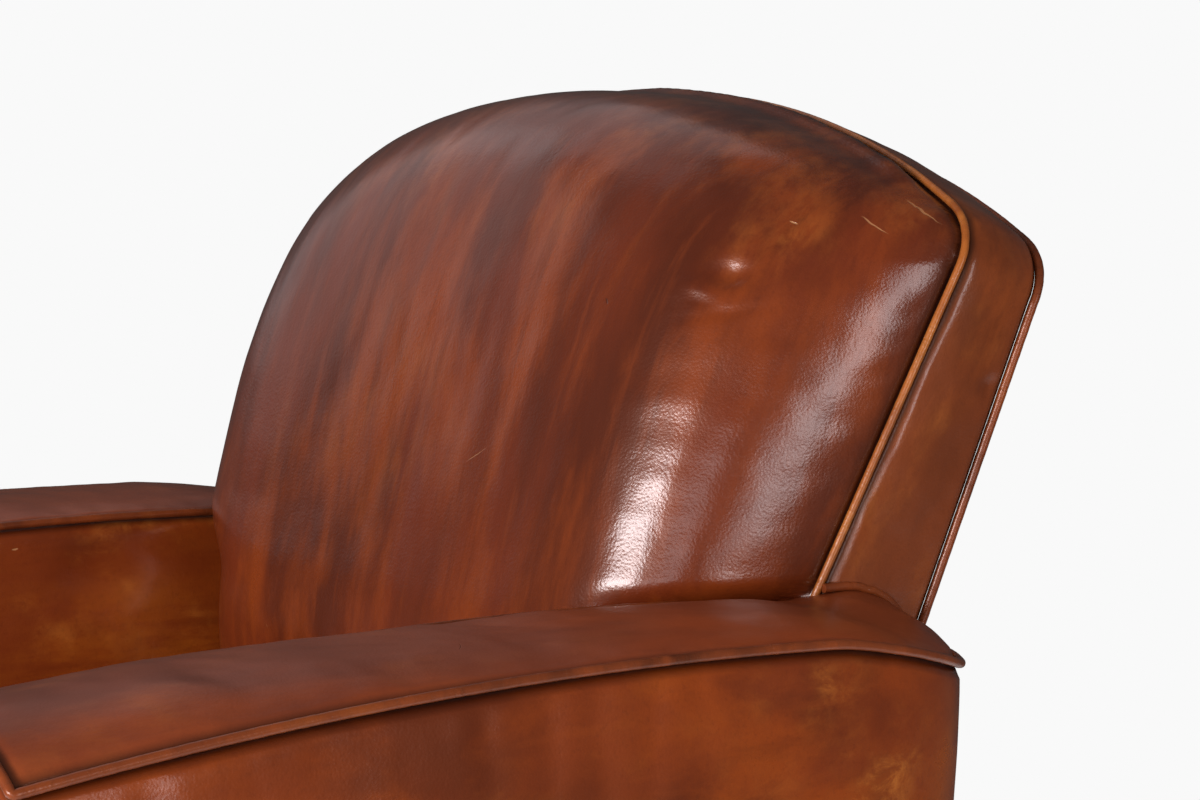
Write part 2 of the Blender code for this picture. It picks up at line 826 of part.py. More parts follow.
def ring_tube(name, path, mat):
    """Closed piping loop lying level."""
    count, sides = len(path), 5
    verts = []
    for j in range(count):
        a, b = np.array(path[j - 1]), np.array(path[(j + 1) % count])
        t = (b - a) / np.linalg.norm(b - a)
        out = np.array([t[1], -t[0], 0])
        for k in range(sides):
            w = 2 * math.pi * k / sides
            verts.append(np.array(path[j]) + cord * (math.cos(w) * out + math.sin(w) * np.array([0, 0, 1])))
    faces = []
    for j in range(count):
        for k in range(sides):
            m, n = (k + 1) % sides, (j + 1) % count
            faces.append([j * sides + k, j * sides + m, n * sides + m, n * sides + k])
    return solid(name, verts, faces, mat)


def dust_cover(cloth):
    front = front_y + 0.010
    step = rear_foot_y - 0.030
    inner, tail = arm_in + 0.017, arm_in + 0.021
    outer, corner = arm_out - 0.021, arm_out - 0.057
    post = front + 0.086
    right = [(inner, front), (inner, post), (outer, post), (outer, step - 0.040), (corner, step),
             (tail, step), (tail, rear_foot_y + 0.040)]
    outline = right + [(-x, y) for x, y in right[::-1]]
    rings = [[(x, y, z) for x, y in outline] for z in (base_z - 0.0050, base_z - 0.0030)]
    loft("dust_cover", rings, cloth)


def clear():
    for item in list(bpy.data.objects):
        bpy.data.objects.remove(item, do_unlink=True)


def build():
    clear()
    leather = material("waxed_leather", (0.16, 0.045, 0.018), 0.32)
    arm_leather = material("arm_leather", (0.17, 0.052, 0.024), 0.36)
    piping = material("piping_leather", (0.12, 0.036, 0.016), 0.30)
    wood = material("beech", (0.42, 0.25, 0.12), 0.55)
    foot_wood = material("stained_beech", (0.05, 0.022, 0.012), 0.40)
    wool = material("wool_padding", (0.55, 0.50, 0.42), 0.95)
    jute = material("jute_webbing", (0.38, 0.27, 0.15), 0.92)
    steel = material("spring_steel", (0.36, 0.35, 0.34), 0.38, 1.0)
    cloth = material("black_cloth", (0.015, 0.015, 0.016), 0.95)
    deck_cloth = material("deck_cloth", (0.10, 0.055, 0.035), 0.90)
    feather = material("feather_filling", (0.70, 0.66, 0.58), 0.95)

    frame(wood)
    feet(foot_wood)
    webbing(jute)
    springs(steel)
    deck(deck_cloth)
    front_border(leather)
    cushion(leather, feather)
    inside_back(leather, wool)
    boxing(leather)
    outside_back(leather, wool)
    front_piping(piping)
    rear_piping(piping)
    for side in (1, -1):
        arm_top(side, arm_leather, wool)
        inside_arm(side, arm_leather, wool)
        outside_arm(side, arm_leather, wool)
        arm_front(side, arm_leather)
        arm_piping(side, piping)
    dust_cover(cloth)


build()
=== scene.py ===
import math

import bmesh
import bpy
import numpy as np
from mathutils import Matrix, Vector, noise


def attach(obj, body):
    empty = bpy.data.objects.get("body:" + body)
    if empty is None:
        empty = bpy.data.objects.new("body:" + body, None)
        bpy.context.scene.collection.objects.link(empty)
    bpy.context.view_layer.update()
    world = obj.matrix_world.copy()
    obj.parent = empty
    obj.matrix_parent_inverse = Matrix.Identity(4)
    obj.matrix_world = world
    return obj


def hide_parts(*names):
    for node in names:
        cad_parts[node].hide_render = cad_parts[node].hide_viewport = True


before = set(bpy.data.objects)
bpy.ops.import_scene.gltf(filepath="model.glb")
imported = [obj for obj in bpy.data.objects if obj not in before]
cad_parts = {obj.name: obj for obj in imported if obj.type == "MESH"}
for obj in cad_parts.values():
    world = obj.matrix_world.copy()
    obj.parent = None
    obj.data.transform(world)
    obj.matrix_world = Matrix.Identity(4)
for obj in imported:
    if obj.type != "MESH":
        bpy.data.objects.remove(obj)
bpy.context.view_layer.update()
print("frame loaded")

# sizes in metres, the same as the solids have
backShape = {
    "level": 0.570,            # height of the arms where the back meets them
    "midY": 0.0812,
    "rake": math.radians(22.5),
    "lowRake": math.radians(6.5),
    "bend": 0.25,
    "rearBend": 0.06,          # the covering behind turns down sooner than the pad in front
    "halfLow": 0.2766,
    "halfHigh": 0.3100,
    "cornerS": 0.206,
    "cornerR": 0.038,
    "cornerFall": math.radians(24.5),
    "deepLow": 0.081,
    "deepHigh": 0.060,
    "deepBody": 0.071,
    "stem": 0.2405,
    "foot": -0.285,
    "settled": 0.0040,         # the top edge has sunk a little into its padding
}
cord = 0.003                   # piping radius
seam = 0.0036                  # leather edge to piping centre
gap = 0.0024                   # panel edge to the line of its seam
backY = 0.120 + backShape["midY"]
baseZ = 0.112


def ease(value, start, end):
    k = np.clip((value - start) / (end - start), 0.0, 1.0)
    return k * k * (3 - 2 * k)


def leaning(x, s, n, bend):
    b = backShape
    angle = np.where(s >= 0, b["rake"], np.maximum(b["rake"] + s / bend, b["lowRake"]))
    arcY = backY + bend * math.cos(b["rake"])
    arcZ = b["level"] - bend * math.sin(b["rake"])
    footY = np.where(s >= 0, backY, arcY - bend * np.cos(angle))
    footZ = np.where(s >= 0, b["level"], arcZ + bend * np.sin(angle))
    run = np.where(s >= 0, s, np.minimum(s + bend * (b["rake"] - b["lowRake"]), 0.0))
    y = footY + run * np.sin(angle) + n * np.cos(angle)
    z = footZ + run * np.cos(angle) - n * np.sin(angle)
    return np.stack([x, y, z], -1)


def place(x, s, n):            # x across, s up the back, n behind its front seam
    x, s, n = np.broadcast_arrays(*[np.asarray(a, float) for a in (x, s, n)])
    rear = ease(n, 0.03, 0.06)[..., None]
    return (leaning(x, s, n, backShape["bend"]) * (1 - rear)
            + leaning(x, s, n, backShape["rearBend"]) * rear)


def depth(s):
    b = backShape
    low = b["deepLow"] + (b["deepBody"] - b["deepLow"]) * ease(-s, 0.0, 0.03)
    high = b["deepLow"] + (b["deepHigh"] - b["deepLow"]) * np.minimum(s / b["cornerS"], 1.0)
    return np.where(s < 0, low, high)


def sideX(s):
    b = backShape
    return b["halfLow"] + (b["halfHigh"] - b["halfLow"]) * np.clip(s, 0.0, b["cornerS"]) / b["cornerS"]


def archLine(inset, cornerPoints=24, topPoints=80):
    b = backShape
    flare = math.atan2(b["halfHigh"] - b["halfLow"], b["cornerS"])
    cx = b["halfHigh"] - b["cornerR"] * math.cos(flare)
    cs = b["cornerS"] + b["cornerR"] * math.sin(flare)
    a = -flare + (math.pi / 2 - b["cornerFall"] + flare) * np.arange(cornerPoints + 1) / cornerPoints
    sunk = b["settled"] * ease(np.arange(cornerPoints + 1) / cornerPoints, 0.0, 1.0)
    r = b["cornerR"] - inset - sunk
    corner = np.stack([cx + r * np.cos(a), cs + r * np.sin(a)], -1)
    big = (cx + b["cornerR"] * math.sin(b["cornerFall"])) / math.sin(b["cornerFall"])
    low = cs + b["cornerR"] * math.cos(b["cornerFall"]) - big * math.cos(b["cornerFall"])
    a = b["cornerFall"] * (1 - np.arange(1, topPoints // 2 + 1) / (topPoints // 2))
    wide = big - inset - b["settled"]
    top = np.stack([wide * np.sin(a), low + wide * np.cos(a)], -1)
    half = np.vstack([corner, top])
    return np.vstack([half, half[-2::-1] * (-1, 1)])


topLine = archLine(seam)[::-1]


def topS(x):
    return np.interp(x, topLine[:, 0], topLine[:, 1])


def resample(points, places):  # places run from 0 to 1 along the line
    points = np.asarray(points, float)
    run = np.concatenate([[0], np.cumsum(np.linalg.norm(np.diff(points, axis=0), axis=1))])
    return np.stack([np.interp(np.asarray(places) * run[-1], run, points[:, k])
                     for k in range(points.shape[1])], -1)


def ripple(points, size, octaves=3, seed=0.0):
    shift = Vector((seed * 7.3, seed * 3.1, seed * 5.7))
    flat = np.asarray(points).reshape(-1, 3)
    values = [noise.fractal(Vector(p) / size + shift, 1.0, 2.0, octaves) for p in flat]
    return np.array(values).reshape(np.asarray(points).shape[:-1])


# materials
def srgb(text):
    parts = [int(text[k:k + 2], 16) / 255 for k in (1, 3, 5)]
    return [c / 12.92 if c <= 0.04045 else ((c + 0.055) / 1.055) ** 2.4 for c in parts] + [1.0]


def fill(tree, node, inputs):
    # a socket is linked, any other value is set
    for key, value in inputs.items():
        if isinstance(value, bpy.types.NodeSocket):
            tree.links.new(value, node.inputs[key])
        else:
            node.inputs[key].default_value = value


def add(tree, kind, inputs=None, out=None, **settings):
    # one node, its settings and its links; with out, the output of that name or number
    node = tree.nodes.new(kind)
    for key, value in settings.items():
        setattr(node, key, value)
    fill(tree, node, inputs or {})
    return node if out is None else node.outputs[out]


def startMaterial(name):
    mat = bpy.data.materials.new(name)
    mat.use_nodes = True
    tree = mat.node_tree
    return mat, tree, tree.nodes["Principled BSDF"], add(tree, "ShaderNodeTexCoord", out="Object")


soft = {"interpolation_type": "SMOOTHSTEP"}
colours = {"data_type": "RGBA"}
times = {"operation": "MULTIPLY"}
plus = {"operation": "MULTIPLY_ADD"}


def layered(tree, tone, hue, value, low, high, most=1.0, masks=()):
    # a colour laid over the others where a value passes from low to high, inside the masks
    part = add(tree, "ShaderNodeMapRange", {0: value, 1: low, 2: high, 4: most}, 0, **soft)
    for mask in masks:
        part = add(tree, "ShaderNodeMath", {0: part, 1: mask}, 0, **times)
    return add(tree, "ShaderNodeMix", {0: part, 6: tone, 7: srgb(hue)}, 2, **colours)


leatherLook = {
    "dark": "#4c1c0c",
    "mid": "#632710",
    "warm": "#753212",
    "amber": "#8d4817",
    "worn": "#a25c24",
    # colour and strength of the darkening beside the seams: old wax and dust, and painted shade under the
    # piping and in the seam crevices
    "edge": "#1b0a05",
    "seamDustAndShade": 0.78,
    "cloudSize": 0.19,         # patches of the patina
    "turn": (0.0, 0.0, 0.0),
    "stretch": (1.0, 1.0, 0.6),
    "streak": (62.0, 30.0, 7.5),  # brush marks of the dye, as lines to the metre each way
    "streakAmount": 0.55,
    "amberAmount": 0.5,
    "rubbed": 0.5,
    "rough": 0.36,
    "roughSpread": 0.08,
    "tint": "#e0a583",         # of the broad, dim light off the dyed skin
    "coat": 0.6,
    "coatRough": 0.19,
    "grain": 0.0016,           # pebble, drawn as coarse as the render can show
    "grainHeight": 0.00007,
    "crease": 0.050,
    "creaseHeight": 0.00008,
    "ticks": 0.0,
    "tickColour": "#a8683a",
    "shift": (0.0, 0.0, 0.0),
    "facing": "Y",             # the axis that the marks lie across
    "marks": (),               # start, end, half width, strength, colour
    "markDepth": 0.007,        # how far a mark reaches into the piece
    "waver": 0.0022,           # how unsteady a mark runs
}


def waxedLeather(name, **changes):
    # sheepskin, aniline dyed and hand waxed: streaky see-through brown, redder where thick and
    # amber where rubbed, under a clear film; the pebble grain shows only in its lights
    look = {**leatherLook, **changes}
    mat, tree, shader, at = startMaterial(name)
    scale = 1.0 / look["cloudSize"]
    turned = add(tree, "ShaderNodeMapping", {"Vector": at, "Location": look["shift"],
                                             "Rotation": look["turn"]}, 0)
    along, brushed = [add(tree, "ShaderNodeMapping", {"Vector": turned, "Scale": look[key]}, 0)
                      for key in ("stretch", "streak")]
    rub, edge = [add(tree, "ShaderNodeAttribute", None, "Fac", attribute_name=key)
                 for key in ("rub", "edge")]
    cloud, blotch, streak, speck, flake, creases, pores = [
        add(tree, "ShaderNodeTexNoise", {"Vector": where, "Scale": lumps, "Detail": detail,
                                         "Roughness": crisp, "Distortion": bent}, 0)
        for where, lumps, detail, crisp, bent in (
            (along, scale, 5.0, 0.55, 0.3),
            (along, scale * 3.1, 7.0, 0.60, 0.2),
            (brushed, 1.0, 5.0, 0.62, 0.0),
            (turned, 300.0, 4.0, 0.65, 0.0),
            (along, 60.0, 9.0, 0.72, 0.6),
            (along, 1.0 / look["crease"], 4.0, 0.55, 0.8),
            (at, 0.6 / look["grain"], 3.0, 0.6, 0.0))]

    tone = layered(tree, srgb(look["dark"]), look["mid"], cloud, 0.34, 0.54)
    tone = layered(tree, tone, look["warm"], blotch, 0.42, 0.68, 0.8)
    fine = add(tree, "ShaderNodeMapRange", {0: streak, 1: 0.36, 2: 0.62}, 0, **soft)
    tone = layered(tree, tone, look["amber"], cloud, 0.50, 0.72, look["amberAmount"], (fine,))
    # brush marks: darker lines where the dye pooled, warmer ones between
    wide = add(tree, "ShaderNodeMapRange", {0: blotch, 1: 0.34, 2: 0.60}, 0, **soft)
    tone = layered(tree, tone, look["dark"], streak, 0.50, 0.30, look["streakAmount"], (wide,))
    tone = layered(tree, tone, look["warm"], streak, 0.54, 0.70, look["streakAmount"] * 0.7)
    # worn places lose their dye in flakes
    fine = add(tree, "ShaderNodeMapRange", {0: flake, 1: 0.40, 2: 0.60, 3: 0.15}, 0, **soft)
    tone = layered(tree, tone, look["worn"], blotch, 0.38, 0.58, look["rubbed"], (rub, fine))
    # old wax and dust stay dark in the pores; beside the seams the darkening is partly old wax and dust and
    # partly painted shade under the piping and in the seam crevices
    part = add(tree, "ShaderNodeMath", {0: edge, 1: look["seamDustAndShade"]}, 0, **times)
    tone = add(tree, "ShaderNodeMix", {0: part, 6: tone, 7: srgb(look["edge"])}, 2, **colours)
    tone = layered(tree, tone, look["dark"], speck, 0.50, 0.72, 0.22)

    pebble = add(tree, "ShaderNodeTexVoronoi", {"Vector": at, "Scale": 1.0 / look["grain"]}, "Distance")
    grain = add(tree, "ShaderNodeMath", {0: pebble, 1: -0.5, 2: pores}, 0, **plus)
    bump = add(tree, "ShaderNodeBump", {"Height": grain, "Strength": 1.0,
                                        "Distance": look["grainHeight"]}, 0)
    bump = add(tree, "ShaderNodeBump", {"Height": creases, "Strength": 1.0, "Normal": bump,
                                        "Distance": look["creaseHeight"] * 4}, 0)
    rough = add(tree, "ShaderNodeMapRange", {0: blotch, 1: 0.35, 2: 0.68,
                                             3: look["rough"] + look["roughSpread"],
                                             4: look["rough"] - look["roughSpread"]}, 0)
    # single scratches and nicks, each a thin ellipsoid laid along the surface
    waver = add(tree, "ShaderNodeTexNoise", {"Vector": at, "Scale": 130.0, "Detail": 2.0}, "Color")
    wavy = add(tree, "ShaderNodeVectorMath", {0: waver, 1: (look["waver"],) * 3, 2: at}, 0, **plus)
    for start, end, width, strength, hue in look["marks"]:
        way = Vector(end) - Vector(start)
        thin = (look["markDepth"], width) if look["facing"] == "Y" else (width, look["markDepth"])
        centre = (Vector(start) + Vector(end) + Vector((look["waver"],) * 3)) / 2
        local = add(tree, "ShaderNodeMapping", {"Vector": wavy, "Location": centre,
                                                "Rotation": way.to_track_quat("X", "Z").to_euler(),
                                                "Scale": (way.length / 2, *thin)}, 0, vector_type="TEXTURE")
        reach = add(tree, "ShaderNodeVectorMath", {0: local}, "Value", operation="LENGTH")
        part = add(tree, "ShaderNodeMapRange", {0: reach, 1: 1.0, 2: 0.55, 4: strength}, 0, **soft)
        tone = add(tree, "ShaderNodeMix", {0: part, 6: tone, 7: srgb(hue)}, 2, **colours)
        bump = add(tree, "ShaderNodeBump", {"Height": part, "Strength": 1.0, "Normal": bump,
                                            "Distance": -0.0003}, 0)
        rough = add(tree, "ShaderNodeMath", {0: part, 1: 0.3, 2: rough}, 0, **plus)
    if look["ticks"]:
        # small cracks across the cord, where it was bent round its seam
        path = add(tree, "ShaderNodeAttribute", None, "Fac", attribute_name="run")
        far = add(tree, "ShaderNodeMath", {0: path, 1: 330.0}, 0, **times)
        tick = add(tree, "ShaderNodeTexNoise", {"Vector": at, "W": far, "Scale": 40.0, "Detail": 2.0}, 0,
                   noise_dimensions="4D")
        tick = add(tree, "ShaderNodeMapRange", {0: tick, 1: 0.66, 2: 0.72}, 0, **soft)
        part = add(tree, "ShaderNodeMath", {0: tick, 1: look["ticks"]}, 0, **times)
        tone = add(tree, "ShaderNodeMix", {0: part, 6: tone, 7: srgb(look["tickColour"])}, 2, **colours)
        bump = add(tree, "ShaderNodeBump", {"Height": tick, "Strength": 1.0, "Normal": bump,
                                            "Distance": -0.0004}, 0)
    rough = add(tree, "ShaderNodeMath", {0: edge, 1: 0.10, 2: rough}, 0, **plus)
    fill(tree, shader, {"Base Color": tone, "Roughness": rough, "Normal": bump, "Coat Normal": bump,
                        "IOR": 1.5, "Specular Tint": srgb(look["tint"]),
                        "Coat Weight": look["coat"], "Coat Roughness": look["coatRough"]})
    return mat


def wood(name, dark, light, rough, coat):
    # beech, planed; the feet are stained and varnished, so their grain is dim under a clear film
    mat, tree, shader, at = startMaterial(name)
    fibre, fleck = [
        add(tree, "ShaderNodeTexNoise", {
            "Vector": add(tree, "ShaderNodeMapping", {"Vector": at, "Scale": lines}, 0),
            "Scale": 1.0, "Detail": detail, "Roughness": crisp, "Distortion": bent}, 0)
        for lines, detail, crisp, bent in (((90.0, 90.0, 6.0), 6.0, 0.62, 0.5),
                                           ((700.0, 700.0, 60.0), 2.0, 0.5, 0.0))]
    tone = layered(tree, srgb(dark), light, fibre, 0.34, 0.66)
    tone = layered(tree, tone, dark, fleck, 0.60, 0.72, 0.5)
    gloss = add(tree, "ShaderNodeMapRange", {0: fibre, 1: 0.3, 2: 0.7, 3: rough + 0.08, 4: rough - 0.06}, 0)
    bump = add(tree, "ShaderNodeBump", {"Height": fibre, "Strength": 0.6, "Distance": 0.0003}, 0)
    fill(tree, shader, {"Base Color": tone, "Roughness": gloss, "Normal": bump,
                        "Coat Weight": coat, "Coat Roughness": 0.22})
    return mat


def woven(name, dark, light, threads, rough, fuzz=0.0):
    # plain weave: two crossing sets of threads, at the real spacing of the cloth, dusty on top
    mat, tree, shader, at = startMaterial(name)
    waves = [add(tree, "ShaderNodeTexWave", {"Vector": at, "Scale": 0.5 / threads, "Distortion": 1.2,
                                             "Detail": 2.0}, "Fac", wave_type="BANDS", bands_direction=way)
             for way in ("X", "Y")]
    weave = add(tree, "ShaderNodeMath", {0: waves[0], 1: waves[1]}, 0, operation="MAXIMUM")
    dust = add(tree, "ShaderNodeTexNoise", {"Vector": at, "Scale": 22.0, "Detail": 6.0,
                                            "Roughness": 0.65}, 0)
    tone = add(tree, "ShaderNodeMix", {0: weave, 6: srgb(dark), 7: srgb(light)}, 2, **colours)
    tone = layered(tree, tone, light, dust, 0.45, 0.75, 0.35)
    bump = add(tree, "ShaderNodeBump", {"Height": weave, "Strength": 0.8, "Distance": 0.0003}, 0)
    fill(tree, shader, {"Base Color": tone, "Normal": bump, "Roughness": rough, "Sheen Weight": fuzz})
    return mat


def fibrous(name, dark, light):
    # wadding and feather filling: matt, cloudy, with loose fibres
    mat, tree, shader, at = startMaterial(name)
    fluff = add(tree, "ShaderNodeTexNoise", {"Vector": at, "Scale": 160.0, "Detail": 8.0,
                                             "Roughness": 0.7, "Distortion": 1.5}, 0)
    tone = layered(tree, srgb(dark), light, fluff, 0.3, 0.7)
    bump = add(tree, "ShaderNodeBump", {"Height": fluff, "Strength": 1.0, "Distance": 0.001}, 0)
    fill(tree, shader, {"Base Color": tone, "Normal": bump, "Roughness": 0.95})
    return mat


def steel(name, dark, light, rough):
    # oil tempered wire and blued tacks: dark, faintly streaked, satin
    mat, tree, shader, at = startMaterial(name)
    streak = add(tree, "ShaderNodeTexNoise", {"Vector": at, "Scale": 140.0, "Detail": 5.0,
                                              "Roughness": 0.6}, 0)
    tone = layered(tree, srgb(dark), light, streak, 0.3, 0.7)
    gloss = add(tree, "ShaderNodeMapRange", {0: streak, 1: 0.3, 2: 0.7, 3: rough + 0.15, 4: rough - 0.05}, 0)
    fill(tree, shader, {"Base Color": tone, "Roughness": gloss, "Metallic": 1.0})
    return mat


pale, scored = "#b98557", "#2a0f07"
backMarks = (
    ((0.273, 0.238, 0.789), (0.289, 0.247, 0.778), 0.00050, 0.42, pale),
    ((0.274, 0.263, 0.800), (0.300, 0.278, 0.783), 0.00045, 0.40, pale),
    ((0.248, 0.207, 0.786), (0.254, 0.210, 0.784), 0.00060, 0.60, pale),
    ((0.170, 0.138, 0.741), (0.174, 0.138, 0.737), 0.00080, 0.55, scored),
    ((-0.115, 0.080, 0.523), (-0.111, 0.080, 0.517), 0.00080, 0.55, pale),
    ((-0.060, 0.120, 0.700), (-0.045, 0.118, 0.692), 0.00035, 0.35, scored),
    ((0.080, 0.100, 0.640), (0.101, 0.098, 0.652), 0.00035, 0.30, pale),
    ((-0.150, 0.150, 0.740), (-0.138, 0.152, 0.748), 0.00035, 0.30, pale),
    ((0.020, 0.170, 0.790), (0.045, 0.172, 0.795), 0.00035, 0.30, scored),
)
armTopMarks = (
    ((0.335, 0.098, 0.591), (0.341, 0.099, 0.591), 0.0008, 0.6, pale),
    ((0.300, -0.180, 0.585), (0.316, -0.164, 0.587), 0.0004, 0.4, pale),
    ((0.352, -0.080, 0.590), (0.366, -0.088, 0.588), 0.0004, 0.4, scored),
    ((0.290, 0.040, 0.592), (0.297, 0.052, 0.592), 0.0004, 0.4, scored),
    ((-0.330, -0.120, 0.590), (-0.344, -0.102, 0.590), 0.0004, 0.4, pale),
)
armMarks = (
    ((0.405, 0.060, 0.470), (0.405, 0.081, 0.463), 0.0005, 0.45, pale),
    ((0.405, -0.160, 0.500), (0.405, -0.138, 0.507), 0.0005, 0.40, scored),
    ((-0.250, -0.036, 0.561), (-0.250, -0.030, 0.562), 0.0009, 0.60, pale),
)
backLeather = waxedLeather(
    "waxed_leather_back", dark="#451808", mid="#5e220c", warm="#74300e", amber="#8c4513",
    amberAmount=0.45, turn=(0.39, 0.0, 0.0), stretch=(1.2, 1.0, 0.36), streak=(80.0, 30.0, 7.0),
    streakAmount=0.42, rubbed=0.28, rough=0.34, tint="#dfa588", coat=0.85, coatRough=0.20,
    grainHeight=0.00010, marks=backMarks)
boxingLeather = waxedLeather(
    "waxed_leather_boxing", dark="#51220d", mid="#6f3113", warm="#7c3915", amberAmount=0.4,
    turn=(0.39, 0.0, 0.0), shift=(0.3, 0.1, 0.2), stretch=(1.0, 1.0, 0.5), streak=(50.0, 50.0, 7.0))
armLeather = waxedLeather(
    "waxed_leather_arm", dark="#511e0b", mid="#702c0e", warm="#84380f", amber="#9a5014",
    worn="#b06527", amberAmount=0.50, shift=(1.3, 0.4, 0.7), stretch=(1.0, 0.6, 1.0),
    streak=(30.0, 9.0, 46.0), streakAmount=0.35, rubbed=0.90, rough=0.34, tint="#d98f64", coat=0.45,
    marks=armMarks)
armTopLeather = waxedLeather(
    "waxed_leather_arm_top", dark="#602713", mid="#753218", warm="#843a1a", amber="#8c4a20",
    amberAmount=0.25, shift=(0.7, 1.4, 0.1), cloudSize=0.24, stretch=(1.0, 0.45, 1.0),
    streak=(44.0, 7.0, 30.0), streakAmount=0.30, rough=0.40, coat=0.30, coatRough=0.28,
    facing="Z", marks=armTopMarks)
seatLeather = waxedLeather(
    "waxed_leather_seat", mid="#692b10", warm="#7a3514", amberAmount=0.5, shift=(2.1, 0.4, 1.1),
    stretch=(1.0, 0.7, 1.0), streak=(34.0, 8.0, 20.0), streakAmount=0.35, rough=0.37)
cordLook = {"cloudSize": 0.08, "streak": (30.0, 30.0, 30.0), "streakAmount": 0.3,
            "creaseHeight": 0.00002, "crease": 0.006}
pipingLeather = waxedLeather(
    "piping_leather", dark="#4c200e", mid="#6b3016", warm="#7a3819", amberAmount=0.3,
    rough=0.33, coat=0.35, ticks=0.5, **cordLook)
rubbedPiping = waxedLeather(
    "rubbed_piping_leather", dark="#6f3514", mid="#8f4c1c", warm="#a56229", amber="#b97635",
    amberAmount=0.6, rough=0.30, ticks=0.3, **cordLook)
stainedBeech = wood("stained_beech", "#1b0d07", "#3b1f10", 0.34, 0.5)
rawBeech = wood("beech", "#a9794a", "#d2a877", 0.60, 0.0)
juteCloth = woven("jute_webbing", "#6f5836", "#a88a5c", 0.0032, 0.92)
deckCloth = woven("deck_cloth", "#2e1b12", "#4a2e20", 0.0011, 0.90)
blackCambric = woven("black_cambric", "#0d0d0e", "#1f1f21", 0.0009, 0.92, 0.2)
woolWadding = fibrous("wool_wadding", "#9c8f78", "#c9bfa8")
featherFill = fibrous("feather_fill", "#b9ad97", "#e0d8c8")
springSteel = steel("spring_steel", "#2c2724", "#6c675f", 0.36)
tackSteel = steel("blued_tack_steel", "#2c2724", "#4d5157", 0.30)
print("materials made")


# mesh work
def linked(name, data):
    piece = bpy.data.objects.new(name, data)
    bpy.context.collection.objects.link(piece)
    return piece


def bakedMesh(piece):
    # what the modifiers make of the piece, as plain mesh
    graph = bpy.context.evaluated_depsgraph_get()
    mesh = bpy.data.meshes.new_from_object(piece.evaluated_get(graph))
    piece.modifiers.clear()
    return mesh


def outwardFaces(mesh, weld=0.0):
    work = bmesh.new()
    work.from_mesh(mesh)
    if weld:
        bmesh.ops.remove_doubles(work, verts=work.verts, dist=weld)
    bmesh.ops.recalc_face_normals(work, faces=work.faces)
    work.to_mesh(mesh)
    work.free()


def skinned(name, rings):
    # rings of points joined by faces; a ring of one point is a pole, any other end is closed
    work = bmesh.new()
    loops = [[work.verts.new(point) for point in ring] for ring in rings]
    for low, high in zip(loops, loops[1:]):
        count = max(len(low), len(high))
        for j in range(count):
            m = (j + 1) % count
            if len(low) == 1:
                work.faces.new((low[0], high[m], high[j]))
            elif len(high) == 1:
                work.faces.new((low[j], low[m], high[0]))
            else:
                work.faces.new((low[j], low[m], high[m], high[j]))
    for end in (loops[0][::-1], loops[-1]):
        if len(end) > 1:
            work.faces.new(end)
    bmesh.ops.recalc_face_normals(work, faces=work.faces)
    mesh = bpy.data.meshes.new(name)
    work.to_mesh(mesh)
    work.free()
    return linked(name, mesh)


def quads(rows, cols):  # the faces of a grid of points
    return [(a, a + 1, a + cols + 1, a + cols)
            for i in range(rows - 1) for a in range(i * cols, (i + 1) * cols - 1)]


def gridNormals(grid):
    du = np.gradient(grid, axis=1)
    dv = np.gradient(grid, axis=0)
    n = np.cross(du, dv)
    return n / np.maximum(np.linalg.norm(n, axis=-1, keepdims=True), 1e-12)


def borderDistance(grid, sides="lrtb"):
    # lengths over the surface: to the nearest seam, and across from the left
    rows = np.linalg.norm(np.diff(grid, axis=1), axis=-1)
    cols = np.linalg.norm(np.diff(grid, axis=0), axis=-1)
    zero = np.zeros((grid.shape[0], 1))
    fromLeft = np.concatenate([zero, np.cumsum(rows, 1)], 1)
    fromLow = np.concatenate([zero[:1].repeat(grid.shape[1], 1).reshape(1, -1), np.cumsum(cols, 0)], 0)
    found = [np.full(grid.shape[:2], 1.0)]
    if "l" in sides:
        found.append(fromLeft)
    if "r" in sides:
        found.append(fromLeft[:, -1:] - fromLeft)
    if "b" in sides:
        found.append(fromLow)
    if "t" in sides:
        found.append(fromLow[-1:] - fromLow)
    return np.min(found, axis=0), fromLeft


def setPoints(mesh, name, values):
    layer = mesh.attributes.new(name, "FLOAT", "POINT")
    layer.data.foreach_set("value", np.asarray(values, np.float32).ravel())


def gridMesh(name, grid, outward, rub=None, edge=None):
    rows, cols = grid.shape[:2]
    faces = quads(rows, cols)
    n = gridNormals(grid)
    if np.sum(n[rows // 2, cols // 2] * np.asarray(outward)) < 0:
        faces = [f[::-1] for f in faces]
    mesh = bpy.data.meshes.new(name)
    mesh.from_pydata(grid.reshape(-1, 3).tolist(), [], faces)
    setPoints(mesh, "rub", np.zeros((rows, cols)) if rub is None else rub)
    setPoints(mesh, "edge", np.zeros((rows, cols)) if edge is None else edge)
    return linked(name, mesh)


def finish(piece, material, replaced=(), smooth=True):
    # modifiers become plain mesh, and the piece joins the frame
    if piece.modifiers:
        piece.data = bakedMesh(piece)
    piece.data.materials.clear()
    piece.data.materials.append(material)
    piece.data.polygons.foreach_set("material_index", [0] * len(piece.data.polygons))
    piece.data.polygons.foreach_set("use_smooth", [smooth] * len(piece.data.polygons))
    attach(piece, "root")
    if replaced:
        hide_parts(*replaced)
    return piece


